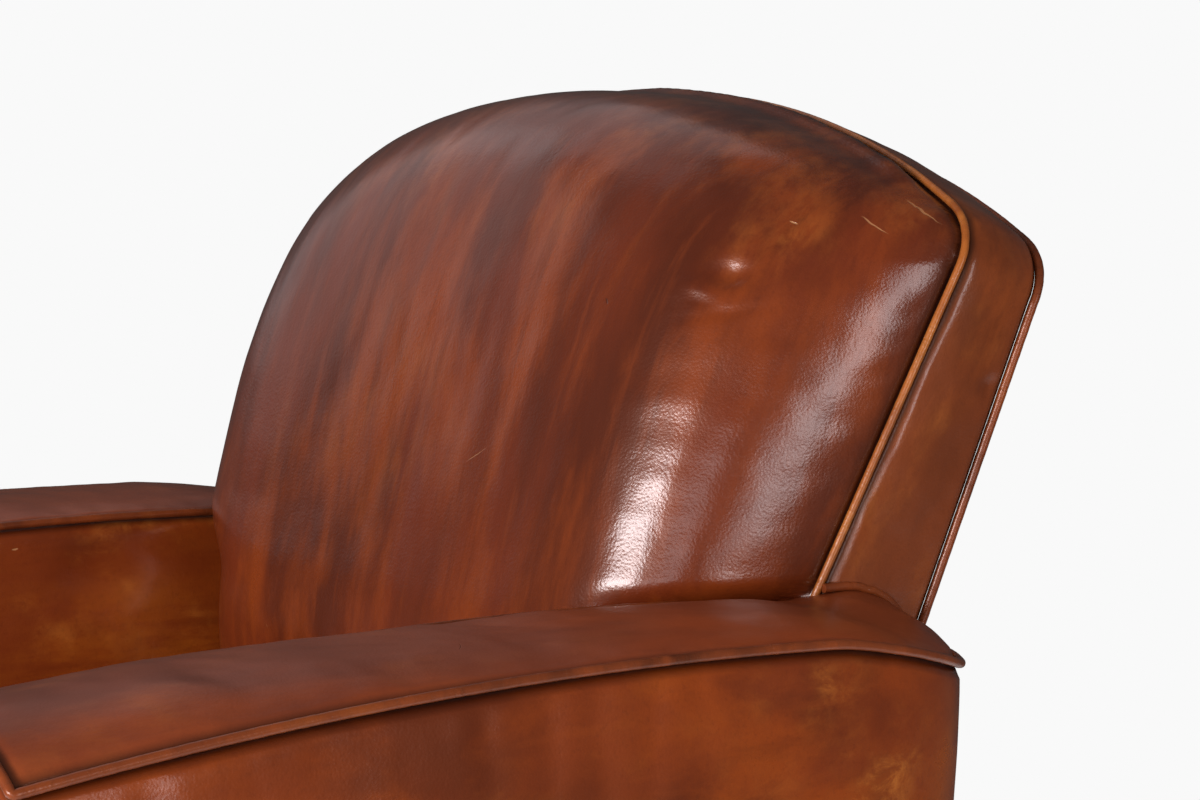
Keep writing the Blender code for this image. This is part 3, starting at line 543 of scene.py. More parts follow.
def leatherPanel(name, grid, outward, material, replaced, detail=None, sides="lrtb", rub=None,
                 thick=0.0020, tuck=0.0022):
    # a sewn panel: its rim turns down into the seams, its face swells and creases
    outward = np.asarray(outward, float)
    n = gridNormals(grid)
    if np.sum(n[grid.shape[0] // 2, grid.shape[1] // 2] * outward) < 0:
        n = -n
    far, across = borderDistance(grid, sides)
    lift = -tuck * (1 - ease(far, 0.0, 0.0055))
    if detail is not None:
        lift = lift + detail(grid, far, across) * ease(far, 0.0, 0.010)
    shaped = grid + n * lift[..., None]
    # darker within 6 mm of the seams: old wax and dust, and painted shade under the piping
    edge = 1 - ease(far, 0.0005, 0.0060)
    piece = gridMesh(name, shaped, outward, rub(grid) if rub else None, edge)
    if thick:
        shell = piece.modifiers.new("thickness", "SOLIDIFY")
        shell.thickness = thick
        shell.offset = -1
    return finish(piece, material, replaced)


def folds(grid, across, pitch, size, seed, twist=3.0):  # waves side by side, a little uneven
    return np.sin(across / pitch * math.pi + twist * ripple(grid, size, 2, seed))


def beside(far, middle, reach):  # a band along the seam, 1 in its middle
    return np.exp(-((far - middle) / reach) ** 2)


def spot(grid, centre, radii):  # a soft round patch, 1 in the middle
    d = np.sqrt((((grid - np.asarray(centre)) / np.asarray(radii)) ** 2).sum(-1))
    return 1 - ease(d, 0.0, 1.0)


# the inside back: one tight padded panel, domed, running down between the arms
backPad = {
    "columns": 190,
    "rows": 200,
    "rearFace": 0.010,
    "undulation": 0.0008,
    "crown": 0.0048,           # how far the filling swells over the top seam
    "dent": 0.0046,            # the dent high on the near side, the swell beside it, its creases
    "dentSwell": 0.0018,
    "dentCrease": 0.0010,
    "pucker": 0.00025,         # gathers along the piping
    "pitch": 0.0085,           # half a wave of them
}


def backWidth(s, inset):
    b = backShape
    low = b["stem"] + 0.0062 - inset
    wide = low + (sideX(s) - inset - low) * ease(s, 0.0010, 0.0030)
    drop = np.maximum(b["foot"] + 0.03 - s, 0.0)
    return wide - (0.03 - np.sqrt(np.maximum(0.03 ** 2 - drop ** 2, 0.0)))


def padRise(x, s, inset):
    b = backShape
    wide = sideX(s) - inset
    wide = b["stem"] - inset + (wide - b["stem"] + inset) * ease(s, -0.03, 0.02)
    height = 0.120 + 0.14 * s - 0.05 * np.maximum(-0.05 - s, 0.0)
    power = 9.4 - 25 * np.clip(s, 0.0, 0.25)
    across = np.maximum(1 - np.minimum(np.abs(x) / wide, 1.0) ** power, 0.0) ** 0.6
    up = np.clip(s / (topS(x) - inset + seam), 0.0, 1.0)
    return height * across * np.maximum(1 - up ** 3.5, 0.0) ** 0.3


def padFront(x, s, inset):
    tilt = math.radians(8.3) * np.clip((s - 0.03) / 0.22, 0.0, 1.0)
    away = np.stack([0 * tilt, -np.cos(tilt), np.sin(tilt)], -1)
    return place(x, s, 0.0) + padRise(x, s, inset)[..., None] * away


def patch(inset, split, us, lowRows, highRows, width):
    # (x, s) places: level rows up to split, then rows that bend to follow the arched top
    line = archLine(inset)
    mid = 12
    top = resample(line[mid:len(line) - mid][::-1], us)
    sideLow = np.stack([width(np.linspace(split, backShape["cornerS"], 20), inset),
                        np.linspace(split, backShape["cornerS"], 20)], -1)
    rightSide = resample(np.vstack([sideLow[:-1], line[:mid + 1]]), highRows)
    rows = []
    for s in lowRows:
        w = float(width(np.array(s), inset))
        rows.append(np.stack([(2 * us - 1) * w, np.full(len(us), s)], -1))
    w = float(width(np.array(split), inset))
    base = np.stack([(2 * us - 1) * w, np.full(len(us), split)], -1)
    for k, v in enumerate(highRows):
        right = rightSide[k]
        left = right * (-1, 1)
        row = (1 - v) * base + v * top
        u = us[:, None]
        row = row + (1 - u) * left + u * right
        row = row - (1 - v) * ((1 - u) * base[0] + u * base[-1]) - v * ((1 - u) * top[0] + u * top[-1])
        rows.append(row)
    return np.array(rows)


def evenPlaces(count, curve):  # places from 0 to 1 that lie evenly along a given line
    fine = np.linspace(0, 1, 4001)
    points = curve(fine)
    run = np.concatenate([[0], np.cumsum(np.linalg.norm(np.diff(points, axis=0), axis=1))])
    return np.interp(np.linspace(0, 1, count) * run[-1], run, fine)


def padDetail(grid, far, across):
    p = backPad
    lift = p["undulation"] * ripple(grid * (1.3, 1.0, 0.7), 0.085, 3, 1.0)
    lift += 0.00014 * ripple(grid * (1.0, 1.0, 0.5), 0.018, 3, 2.0)
    # gathers, deepest beside the seam
    turn = np.arctan2(grid[..., 2] - 0.66, grid[..., 0]) * 0.33
    gather = folds(grid, turn, p["pitch"], 0.06, 3.0) * (0.5 + 0.8 * ripple(grid, 0.045, 2, 4.0))
    lift += p["pucker"] * gather * beside(far, 0.008, 0.012) * (grid[..., 2] > 0.57)
    # the filling swells over the seam along the top
    crown = ease(grid[..., 2], 0.70, 0.80) * ease(-np.abs(grid[..., 0]), -0.285, -0.235)
    lift += p["crown"] * beside(far, 0.013, 0.010) * crown
    # the dent with its short creases, high on the near side
    lift -= p["dent"] * spot(grid, (0.240, 0.172, 0.757), (0.018, 0.022, 0.012))
    lift += p["dentSwell"] * spot(grid, (0.223, 0.160, 0.748), (0.022, 0.025, 0.011))
    for dx, dz, turned in ((0.010, 0.016, 0.6), (-0.012, -0.014, -0.4), (0.004, -0.022, 0.2)):
        way = np.array([math.cos(turned), 0.0, math.sin(turned)])
        rel = grid - np.array([0.240 + dx, 0.172, 0.757 + dz])
        lengthwise = (rel * way).sum(-1)
        sideways = np.linalg.norm(rel * (1, 0, 1) - lengthwise[..., None] * way, axis=-1)
        lift -= p["dentCrease"] * beside(sideways, 0.0, 0.0022) * beside(lengthwise, 0.0, 0.016)
    # soft folds down the sides of the swell
    fold = ripple(grid * (0.6, 1.0, 2.2), 0.055, 2, 6.0)
    lift += 0.0006 * fold * ease(grid[..., 0], 0.16, 0.27)
    return lift


def padRub(grid):
    worn = 0.75 * ease(grid[..., 2], 0.74, 0.82) * (0.5 + 0.9 * ripple(grid, 0.05, 4, 8.0))
    worn += 0.55 * spot(grid, (-0.05, 0.11, 0.66), (0.20, 0.14, 0.12)) * (0.4 + ripple(grid, 0.06, 4, 9.0))
    worn += 0.8 * spot(grid, (0.245, 0.20, 0.775), (0.05, 0.07, 0.035)) * (0.5 + ripple(grid, 0.02, 3, 5.0))
    return np.clip(worn, 0, 1)


def insideBack():
    split = 0.10               # below it the rows are level, above it they follow the arch
    inset = gap
    us = evenPlaces(backPad["columns"] + 1,
                    lambda u: padFront((2 * u - 1) * float(backWidth(np.array(0.12), inset)),
                                       np.full(len(u), 0.12), inset))
    topMid = float(topS(0.0)) + seam - inset
    highV = evenPlaces(90, lambda v: padFront(np.zeros(len(v)), split + (topMid - split) * v, inset))
    low = backShape["foot"] + inset
    lowS = np.concatenate([np.linspace(low, -0.05, 60), np.linspace(-0.047, -0.001, 18),
                           np.linspace(0.0006, 0.0032, 8), np.linspace(0.0055, split - 0.003, 30)])
    xs = patch(inset, split, us, lowS, highV, backWidth)
    grid = padFront(xs[..., 0], xs[..., 1], inset)
    n = -gridNormals(grid)
    if n[100, 95, 1] > 0:
        n = -n
    far, across = borderDistance(grid)
    lift = -0.0016 * (1 - ease(far, 0.0, 0.0055))
    lift += padDetail(grid, far, across) * ease(far, 0.0, 0.012)
    front = grid + n * lift[..., None]
    s = xs[..., 1]
    rear = place(xs[..., 0], s, backPad["rearFace"] - 0.016 * ease(-s, -0.02, 0.012))
    # the last value darkens the pad up to 14 mm from its seams: old wax and dust, and painted shade under the
    # piping and in the crevices beside the arms
    piece = closedPad("inside_back_panel", front, rear, padRub(grid), 1 - ease(far, 0.001, 0.014))
    finish(piece, backLeather, ("inside_back_leather", "back_padding"))
    return piece


def closedPad(name, front, rear, rub, edge):
    # front and rear grids share their rim count and are joined all round
    rows, cols = front.shape[:2]
    verts = np.vstack([front.reshape(-1, 3), rear.reshape(-1, 3)])
    total = rows * cols
    faces = []
    for a, b, c, d in quads(rows, cols):
        faces.append((a, b, c, d))
        faces.append((total + a, total + d, total + c, total + b))
    cells = np.arange(total).reshape(rows, cols)
    rim = np.concatenate([cells[0], cells[1:, -1], cells[-1, -2::-1], cells[-2:0:-1, 0]]).tolist()
    for a, b in zip(rim, rim[1:] + rim[:1]):
        faces.append((b, a, total + a, total + b))
    mesh = bpy.data.meshes.new(name)
    mesh.from_pydata(verts.tolist(), [], faces)
    setPoints(mesh, "rub", np.concatenate([rub.ravel(), 0 * rub.ravel()]))
    # the rear face, hidden inside the back, takes the full darkening as painted shade
    setPoints(mesh, "edge", np.concatenate([edge.ravel(), 0 * edge.ravel() + 1]))
    outwardFaces(mesh)
    return linked(name, mesh)


insideBack()
print("inside back made")


# the edge of the back: boxing, outside back
def backEdge(start, inset, sidePoints=70, cornerPoints=22, topPoints=120):
    s = start + (backShape["cornerS"] - start) * np.arange(sidePoints) / sidePoints
    side = np.stack([sideX(s) - inset, s], -1)
    line = np.vstack([side, archLine(inset, cornerPoints, topPoints)])
    return np.vstack([line, side[::-1] * (-1, 1)])


boxingShape = {
    "puff": 0.0030,
    "rows": 26,
    "pucker": 0.0002,
    "tail": 0.009,             # how far it runs down behind the arm top
    "tuck": 0.0030,
}


def boxingDetail(grid, far, across):
    lift = 0.0009 * ripple(grid, 0.045, 3, 11.0)
    gather = folds(grid, across, 0.0125, 0.05, 12.0, 4.0) * (0.4 + ripple(grid, 0.05, 2, 13.0))
    lift += boxingShape["pucker"] * gather * beside(far, 0.006, 0.010)
    # the tuck beside the rear piping, on the near side
    lift -= boxingShape["tuck"] * spot(grid, (0.304, 0.312, 0.690), (0.012, 0.016, 0.010))
    lift += 0.0010 * spot(grid, (0.304, 0.306, 0.668), (0.012, 0.016, 0.014))
    return lift


def boxingRub(grid):
    worn = 0.6 * ease(grid[..., 2], 0.80, 0.84) * (0.4 + ripple(grid, 0.04, 4, 14.0))
    worn += 0.5 * (0.2 + ripple(grid, 0.03, 4, 15.0))
    return np.clip(worn, 0, 1)


def boxing():
    rings = []
    for k in range(boxingShape["rows"] + 1):
        part = k / boxingShape["rows"]
        puff = 0.001 + boxingShape["puff"] * math.sin(math.pi * part)
        nLow = gap + (backShape["deepLow"] - 2 * gap) * part
        deep = nLow / backShape["deepLow"]
        start = 0.0065 + 0.010 * deep + 0.003 * math.sin(math.pi * deep) - boxingShape["tail"]
        line = backEdge(start, -puff)
        rings.append(place(line[:, 0], line[:, 1], gap + (depth(line[:, 1]) - 2 * gap) * part))
    grid = np.array(rings)
    leatherPanel("back_boxing", grid, (0, 0, 1), boxingLeather, ("back_boxing_leather",), boxingDetail,
                 "bt", boxingRub)


def rearFoot():
    s = -0.30
    while place(0, s, backShape["deepLow"])[2] > baseZ:
        s -= 0.001
    return s + 0.001


outsideShape = {"inset": 0.0026, "split": 0.13, "slack": 0.0022, "pull": 0.0006}


def outsideBack():
    inset, split = outsideShape["inset"], outsideShape["split"]
    us = np.linspace(0, 1, 71)
    lowS = np.linspace(rearFoot(), split - 0.004, 80)
    xs = patch(inset, split, us, lowS, np.linspace(0, 1, 36), lambda s, i: sideX(s) - i)
    grid = place(xs[..., 0], xs[..., 1], depth(xs[..., 1]) + 0.0005)

    def slack(grid, far, across):
        lift = 0.0012 * ripple(grid * (1.0, 1.0, 0.6), 0.11, 3, 21.0)
        lift += outsideShape["slack"] * np.minimum(far / 0.12, 1.0)
        pull = folds(grid, across, 0.021, 0.06, 22.0) * beside(far, 0.008, 0.014)
        return lift + outsideShape["pull"] * pull

    def worn(grid):
        rubbed = 0.7 * ease(grid[..., 2], 0.72, 0.82) * (0.4 + ripple(grid, 0.05, 4, 23.0))
        rubbed += 0.5 * ease(-grid[..., 2], -0.20, -0.12) * (0.4 + ripple(grid, 0.03, 4, 24.0))
        return np.clip(rubbed, 0, 1)

    leatherPanel("outside_back", grid, (0, 1, 0), boxingLeather,
                 ("outside_back_leather", "outside_back_lining"), slack,
                 "lrt", worn)


boxing()
outsideBack()
print("back covered")


# arms: t runs from the front to the rear, round the corner behind
armShape = {
    "frontY": -0.433 + backShape["midY"],
    "inside": 0.251,
    "outside": 0.407,
    "crown": 0.016,
    "frontCrown": 0.010,       # fuller at the front, flatter where the elbow rests, full again
    "elbowDip": 0.006,
    "rearCrown": 0.010,
    "outsideSwell": 0.0060,
    "insideSwell": 0.0045,
    "frontSwell": 0.0022,
    "turnX": backShape["halfLow"] + 0.0044,
    "straight": 0.70,
    "insideFoot": 0.200,
    "beamS": -0.100,
}
armShape["turnR"] = armShape["outside"] - armShape["turnX"]
lineS = np.linspace(-0.6, 0.3, 181)
linePoints = place(0, lineS, backShape["deepBody"])


def rearLine(z):
    return np.interp(z, linePoints[:, 2], linePoints[:, 1])


def armHeight(y):
    t = y - backY
    return backShape["level"] - 0.076 * t - 0.197 * t * t


def wallX(z):
    return armShape["outside"] - 0.009 * np.maximum((0.55 - z) / 0.44, 0.0) ** 1.6


def plan(t, z, out=0.0):
    a = armShape
    turnY = rearLine(z) - a["turnR"]
    k = np.maximum(t - a["straight"], 0.0) / (1 - a["straight"])
    angle = math.radians(89.4) * k
    wide = wallX(z) - a["turnX"] + out
    x = np.where(t <= a["straight"], wallX(z) + out, a["turnX"] + wide * np.cos(angle))
    y = np.where(t <= a["straight"], a["frontY"] + (turnY - a["frontY"]) * t / a["straight"],
                 turnY + (a["turnR"] + out) * np.sin(angle))
    return x, y


def outerTop(t):
    a = armShape
    t = np.asarray(t, float)
    y = plan(np.minimum(t, a["straight"]), backShape["level"])[1]
    z = armHeight(y) - 0.027 * ease(t, a["straight"] - 0.06, a["straight"] + 0.20)
    x, y = plan(t, z)
    return np.stack([x, y, z], -1)


def innerTop(t):
    a = armShape
    t = np.asarray(t, float)
    y = plan(np.minimum(t, a["straight"]), backShape["level"])[1]
    y = y + 0.050 * np.maximum(t - a["straight"], 0) / (1 - a["straight"])
    return np.stack([np.full(t.shape, a["inside"]), y, armHeight(y)], -1)


def topPoint(t, v):
    a = armShape
    rise = a["crown"] + a["frontCrown"] * (1 - ease(t, 0.0, 0.35)) - a["elbowDip"] * ease(t, 0.22, 0.50)
    full = a["rearCrown"] * ease(t, 0.74, 0.90) * (1 - np.abs(2 * v - 1) ** 5) * ease(v, 0.0, 0.55)
    rise = rise * (1 - np.abs(2 * v - 1) ** 2.3) + full
    v = np.asarray(v)[..., None]
    base = innerTop(t) * (1 - v) + outerTop(t) * v
    base[..., 2] += rise
    return base


evenT = evenPlaces(171, outerTop)
topCloud = np.vstack([topPoint(np.full(60, t), np.linspace(0, 1, 60))
                      for t in np.linspace(0.4, 1.0, 140)])


def armTopHeight(x, y):
    d = (topCloud[:, 0] - x) ** 2 + (topCloud[:, 1] - y) ** 2
    near = np.argsort(d)[:4]
    return float(topCloud[near, 2].mean())


sideName = {1: "left", -1: "right"}


def mirrored(grid, side):
    return grid * (side, 1, 1)


def nearSide(grid):  # points of either arm, as on the near one
    return np.abs(grid) * (1, 0, 0) + grid * (0, 1, 1)


def armTopDetail(grid, far, across):
    x, y = grid[..., 0], grid[..., 1]
    lift = 0.0012 * ripple(grid, 0.060, 3, 31.0)
    # shallow folds across the arm, towards the front and where the elbow rests
    fold = np.sin(y / 0.041 * math.pi + 2.2 * ripple(grid, 0.09, 2, 32.0) + 6 * np.abs(x))
    lift += 0.0006 * fold * (0.35 + ripple(grid, 0.08, 2, 33.0)) * ease(-y, -0.10, 0.05)
    lift += 0.00012 * folds(grid, y, 0.0095, 0.05, 34.0) * beside(far, 0.006, 0.009)
    return lift - 0.0016 * spot(nearSide(grid), (0.335, -0.02, 0.59), (0.06, 0.13, 0.1))


def armTopRub(grid):
    worn = 0.7 * spot(nearSide(grid), (0.335, -0.30, 0.585), (0.10, 0.10, 0.1))
    worn = worn * (0.4 + ripple(grid, 0.03, 4, 35.0))
    return np.clip(worn + 0.35 * ripple(grid, 0.05, 4, 36.0), 0, 1)


def outsideDetail(grid, far, across):
    y, z = grid[..., 1], grid[..., 2]
    lift = 0.0011 * ripple(grid * (1.0, 1.0, 0.5), 0.07, 3, 41.0)
    for at, deep, lean in ((-0.104, 0.0012, 0.10), (-0.066, 0.0015, -0.06), (-0.036, 0.0013, 0.05),
                           (0.000, 0.0010, -0.12), (0.028, 0.0013, 0.08), (0.150, 0.0009, 0.05),
                           (-0.230, 0.0009, 0.05)):
        line = y - at - lean * (0.55 - z) + 0.006 * ripple(grid, 0.05, 2, 42.0 + at)
        lift -= 0.55 * deep * np.exp(-(line / 0.0085) ** 2) * ease(z, 0.30, 0.50)
    return lift + 0.00018 * folds(grid, y, 0.0150, 0.05, 43.0) * beside(far, 0.008, 0.014)


def outsideRub(grid):
    side = nearSide(grid)
    worn = 0.9 * spot(side, (0.407, 0.100, 0.556), (0.05, 0.055, 0.030))
    worn += 0.9 * spot(side, (0.405, 0.150, 0.508), (0.05, 0.055, 0.045))
    worn += 0.5 * spot(side, (0.405, -0.05, 0.45), (0.05, 0.22, 0.13))
    worn += 0.6 * ease(-grid[..., 2], -0.17, -0.12)
    return np.clip(worn * (0.45 + 1.1 * ripple(grid, 0.035, 4, 44.0)), 0, 1)


def insideDetail(grid, far, across):
    lift = 0.0011 * ripple(grid, 0.07, 3, 51.0)
    lift -= 0.0030 * spot(grid, (-0.250, 0.027, 0.537), (0.03, 0.050, 0.030))
    lift -= 0.0022 * spot(grid, (0.250, -0.060, 0.520), (0.03, 0.070, 0.040))
    return lift


def insideRub(grid):
    return np.clip(0.8 * (0.15 + ripple(grid, 0.03, 4, 52.0)) * ease(grid[..., 2], 0.42, 0.55), 0, 1)


def frontDetail(grid, far, across):
    return 0.0008 * ripple(grid, 0.06, 3, 61.0)


def frontRub(grid):
    worn = 0.8 * ease(grid[..., 2], 0.50, 0.57) * (0.5 + ripple(grid, 0.03, 4, 62.0))
    worn += 0.6 * ease(-grid[..., 2], -0.18, -0.12) * (0.5 + ripple(grid, 0.03, 4, 63.0))
    return np.clip(worn, 0, 1)


def armCover(side):
    a = armShape
    name = sideName[side]
    inset = gap

    def padded(kind, rows, outward, material, detail, sides, rub, thick=0.0020):
        hidden = [name + kind + layer for layer in ("_leather", "_padding")]
        piece = leatherPanel(name + kind, mirrored(np.array(rows), side), outward, material, hidden,
                             detail, sides, rub, thick)

    # top panel, domed between its pipings
    rows = []
    first = a["straight"] * inset / (float(plan(a["straight"], backShape["level"])[1]) - a["frontY"])
    v = np.linspace(0, 1, 53)
    for t in np.concatenate([[first], evenT[1:]]):
        width = np.linalg.norm(outerTop(t) - innerTop(t))
        cut = inset / width
        rows.append(topPoint(np.full(v.shape, t), cut + (1 - 2 * cut) * v))
    padded("_arm_top", rows, (0, 0, 1), armTopLeather, armTopDetail, "lrb", armTopRub)

    # outside panel, wrapped round the rear corner to the back's seam
    rows = []
    for t in evenT:
        top = float(outerTop(t)[2])
        z = np.linspace(baseZ, top - inset, 66)
        swell = a["outsideSwell"] * np.abs(np.sin(math.pi * np.linspace(0, 1, 66))) ** 0.55
        swell = swell * min(t / 0.12, 1.0)
        x, y = plan(np.full(66, t), z, swell)
        if t == 0:
            y = y + 0.0014
        rows.append(np.stack([x, y, z], -1))
    padded("_outside_arm", rows, (side, 0, 0.1), armLeather, outsideDetail, "rt", outsideRub, 0.0025)

    # inside panel
    rim = a["frontY"] + 0.0014
    stop = float(place(0, a["beamS"], 0.004)[1]) - 0.0003
    rows = []
    for y in np.linspace(rim, stop, 110):
        top = float(armHeight(y))
        z = np.linspace(a["insideFoot"], top - inset, 70)
        swell = a["insideSwell"] * np.sin(math.pi * np.minimum((top - seam - z) / 0.20, 1.0))
        swell = swell * min((y - rim) * 7 / (stop - rim), 1.0)
        rows.append(np.stack([a["inside"] - swell, np.full(70, y), z], -1))
    padded("_inside_arm", rows, (-side, 0, 0), armLeather, insideDetail, "r", insideRub)

    # front facing
    rows = []
    for v in np.linspace(0.0, 0.996, 44):
        crest = topPoint(np.array(0.0), np.array(v))
        z = np.linspace(baseZ, float(crest[2]) - 0.0030, 90)
        x = a["inside"] + 0.0004 + (wallX(z) - a["inside"] - 0.0004) * v
        bulge = a["frontSwell"] * math.sin(math.pi * v) * np.sin(math.pi * np.linspace(0, 1, 90)) ** 0.5
        rows.append(np.stack([x, np.full(90, a["frontY"] - 0.001) - bulge, z], -1))
    leatherPanel(name + "_arm_front", mirrored(np.array(rows), side), (0, -1, 0), armLeather,
                 (name + "_arm_front_leather",), frontDetail, "lrt", frontRub, tuck=0.0012)


for side in (1, -1):
    armCover(side)
print("arms covered")


# piping: one tree sweeps a leather cord along each seam
pipingShape = {
    "radius": 0.0027,
    "frontRadius": 0.0023,     # of the cord round the front of the back, worn thin
    "wobble": 0.00044,
    "step": 0.0022,
    "sides": 14,
}


def startTree(name, **sockets):
    # a node group that takes and gives geometry, with its named inputs
    tree = bpy.data.node_groups.new(name, "GeometryNodeTree")
    for key, kind in {"Geometry": "Geometry", **sockets, "Material": "Material"}.items():
        tree.interface.new_socket(key, in_out="INPUT", socket_type="NodeSocket" + kind)
    tree.interface.new_socket("Geometry", in_out="OUTPUT", socket_type="NodeSocketGeometry")
    return tree, add(tree, "NodeGroupInput").outputs


def endTree(tree, shape, material):
    real = add(tree, "GeometryNodeRealizeInstances", {"Geometry": shape}, 0)
    done = add(tree, "GeometryNodeSetMaterial", {"Geometry": real, "Material": material}, 0)
    add(tree, "NodeGroupOutput", {0: done})
    return tree


def pipingTree():
    tree, given = startTree("sewn_piping", Radius="Float", Wobble="Float", Step="Float", Sides="Int")
    path = add(tree, "GeometryNodeResampleCurve", {"Curve": given["Geometry"], "Length": given["Step"]},
               "Curve", mode="LENGTH")
    run = add(tree, "GeometryNodeSplineParameter", out="Length")
    path = add(tree, "GeometryNodeStoreNamedAttribute", {"Geometry": path, "Name": "run", "Value": run},
               "Geometry", data_type="FLOAT", domain="POINT")
    circle = add(tree, "GeometryNodeCurvePrimitiveCircle",
                 {"Resolution": given["Sides"], "Radius": given["Radius"]}, "Curve", mode="RADIUS")
    tube = add(tree, "GeometryNodeCurveToMesh", {"Curve": path, "Profile Curve": circle,
                                                 "Fill Caps": True}, "Mesh")
    where = add(tree, "GeometryNodeInputPosition", out=0)
    bumps = add(tree, "ShaderNodeTexNoise", {"Vector": where, "Scale": 210.0, "Detail": 2.0}, "Fac")
    centred = add(tree, "ShaderNodeMath", {0: bumps, 1: 0.5}, 0, operation="SUBTRACT")
    amount = add(tree, "ShaderNodeMath", {0: centred, 1: given["Wobble"]}, 0, **times)
    out = add(tree, "GeometryNodeInputNormal", out=0)
    push = add(tree, "ShaderNodeVectorMath", {0: out, "Scale": amount}, 0, operation="SCALE")
    tube = add(tree, "GeometryNodeSetPosition", {"Geometry": tube, "Offset": push}, 0)
    return endTree(tree, tube, given["Material"])


pipingNodes = pipingTree()


def curveFrom(name, points, closed, kind):
    data = bpy.data.curves.new(name, "CURVE")
    data.dimensions = "3D"
    data.resolution_u = 3
    spline = data.splines.new(kind)
    spline.order_u = 3
    spline.use_cyclic_u = closed
    spline.use_endpoint_u = not closed
    spline.points.add(len(points) - 1)
    for point, co in zip(spline.points, points):
        point.co = (*co, 1.0)
    return linked(name, data)


def grown(name, points, tree, closed=False, kind="NURBS", **values):
    # what a node tree makes of a curve through the points
    guide = curveFrom(name + "_path", points, closed, kind)
    mod = guide.modifiers.new(tree.name, "NODES")
    mod.node_group = tree
    for item in tree.interface.items_tree:
        if item.item_type == "SOCKET" and item.in_out == "INPUT" and item.name in values:
            mod[item.identifier] = values[item.name]
    mesh = bakedMesh(guide)
    bpy.data.objects.remove(guide, do_unlink=True)
    return linked(name, mesh)


def piping(name, points, replaced, closed=False, leather=pipingLeather, radius=pipingShape["radius"]):
    piece = grown(name, points, pipingNodes, closed, Radius=radius, Wobble=pipingShape["wobble"],
                  Step=pipingShape["step"], Sides=pipingShape["sides"], Material=leather)
    outwardFaces(piece.data, 1e-6)
    return finish(piece, leather, replaced)


def everyPiping():
    line = backEdge(0.0025, 0.0)
    piping("front_back_piping", place(line[:, 0], line[:, 1], 0.0), ("back_front_piping",),
           leather=rubbedPiping, radius=pipingShape["frontRadius"])
    low = rearFoot()
    lower = np.stack([np.full(60, backShape["halfLow"]), np.linspace(low, -0.004, 60)], -1)
    line = np.vstack([lower, backEdge(0.0, 0.0), lower[::-1] * (-1, 1)])
    piping("rear_back_piping", place(line[:, 0], line[:, 1], depth(line[:, 1])), ("back_rear_piping",))
    for side in (1, -1):
        outer = outerTop(evenT[::-1])
        front = topPoint(np.zeros(40), np.linspace(0.985, 0.015, 40))
        y = np.linspace(armShape["frontY"], 0.150, 90)
        inner = np.stack([np.full(90, armShape["inside"]), y, armHeight(y)], -1)
        line = mirrored(np.vstack([outer, front, inner]), side)
        piping(sideName[side] + "_arm_cord", line, (sideName[side] + "_arm_piping",))
        # the facing's upright seams, and the welt where the back stands on the arm
        z = np.linspace(baseZ + 0.002, float(armHeight(armShape["frontY"])) - 0.004, 60)
        upright = np.stack([wallX(z) - 0.0008, np.full(60, armShape["frontY"] + 0.0002), z], -1)
        piping(sideName[side] + "_facing_outer_cord", mirrored(upright, side), ())
        upright = np.stack([np.full(60, armShape["inside"]), np.full(60, armShape["frontY"] + 0.0002), z], -1)
        piping(sideName[side] + "_facing_inner_cord", mirrored(upright, side), ())
        # it lies where the boxing meets the arm's top panel
        welt = []
        for part in np.linspace(0.01, 0.99, 34):
            s = np.linspace(0.030, -0.012, 85)
            box = place(sideX(s) + 0.0035, s, depth(s) * part)
            lie = [armTopHeight(p[0], p[1]) for p in box]
            k = int(np.argmax(box[:, 2] <= np.array(lie) + 0.0027))
            welt.append(box[k])
        piping(sideName[side] + "_back_foot_welt", mirrored(np.array(welt), side), ())


everyPiping()
print("piping swept")


# the loose seat cushion
seatShape = {
    "front": -0.458 + backShape["midY"],
    "rear": 0.058,
    "half": 0.2385,
    "lowSeam": 0.2835,
    "topSeam": 0.3915,
    "corner": 0.035,
    "crown": 0.020,
    "belly": -0.010,
    "voxel": 0.006,
    "pressure": 4.0,
    "cap": 0.022,
}


def cushionLoop(out, perCorner=12, perSide=26):
    q = seatShape
    r = q["corner"]
    xMid = q["half"] - r
    yLow, yHigh = q["front"] + cord + r, q["rear"] - r
    ring = []
    for cx, cy, start in ((xMid, yHigh, 0), (-xMid, yHigh, 90), (-xMid, yLow, 180), (xMid, yLow, 270)):
        for k in range(perCorner + 1):
            a = math.radians(start + 90 * k / perCorner)
            ring.append((cx + (r + out) * math.cos(a), cy + (r + out) * math.sin(a)))
    corners = np.array(ring).reshape(4, perCorner + 1, 2)
    points = []
    for k in range(4):
        points.extend(corners[k])
        end, begin = corners[k][-1], corners[(k + 1) % 4][0]
        for m in range(1, perSide):
            points.append(end + (begin - end) * m / perSide)
    return np.array(points)


def cushionBody():
    q = seatShape
    mid = np.array([0.0, (q["front"] + q["rear"]) / 2])
    steps = (1.0, 0.96, 0.85, 0.65, 0.4, 0.15)
    rim = cushionLoop(-0.002) - mid
    rings = [(mid + rim * r, q["lowSeam"] + q["belly"] * (1 - r ** 3) ** 0.7) for r in steps[::-1]]
    rings += [(cushionLoop(-0.002 - 0.002 * math.sin(math.pi * k / 8)),
               q["lowSeam"] + (q["topSeam"] - q["lowSeam"]) * k / 8) for k in range(1, 8)]
    rings += [(mid + rim * r, q["topSeam"] + q["crown"] * (1 - r ** 3) ** 0.7) for r in steps]
    piece = skinned("seat_cushion", [[(p[0], p[1], z) for p in ring] for ring, z in rings])
    remesh = piece.modifiers.new("remesh", "REMESH")
    remesh.mode = "VOXEL"
    remesh.voxel_size = q["voxel"]
    piece.data = bakedMesh(piece)
    return piece


def pointsOf(mesh):
    flat = np.zeros(len(mesh.vertices) * 3)
    mesh.vertices.foreach_get("co", flat)
    return flat.reshape(-1, 3)


def nearest(points, line):
    best = np.full(len(points), 9.0)
    for p in line:
        best = np.minimum(best, np.linalg.norm(points - p, axis=1))
    return best


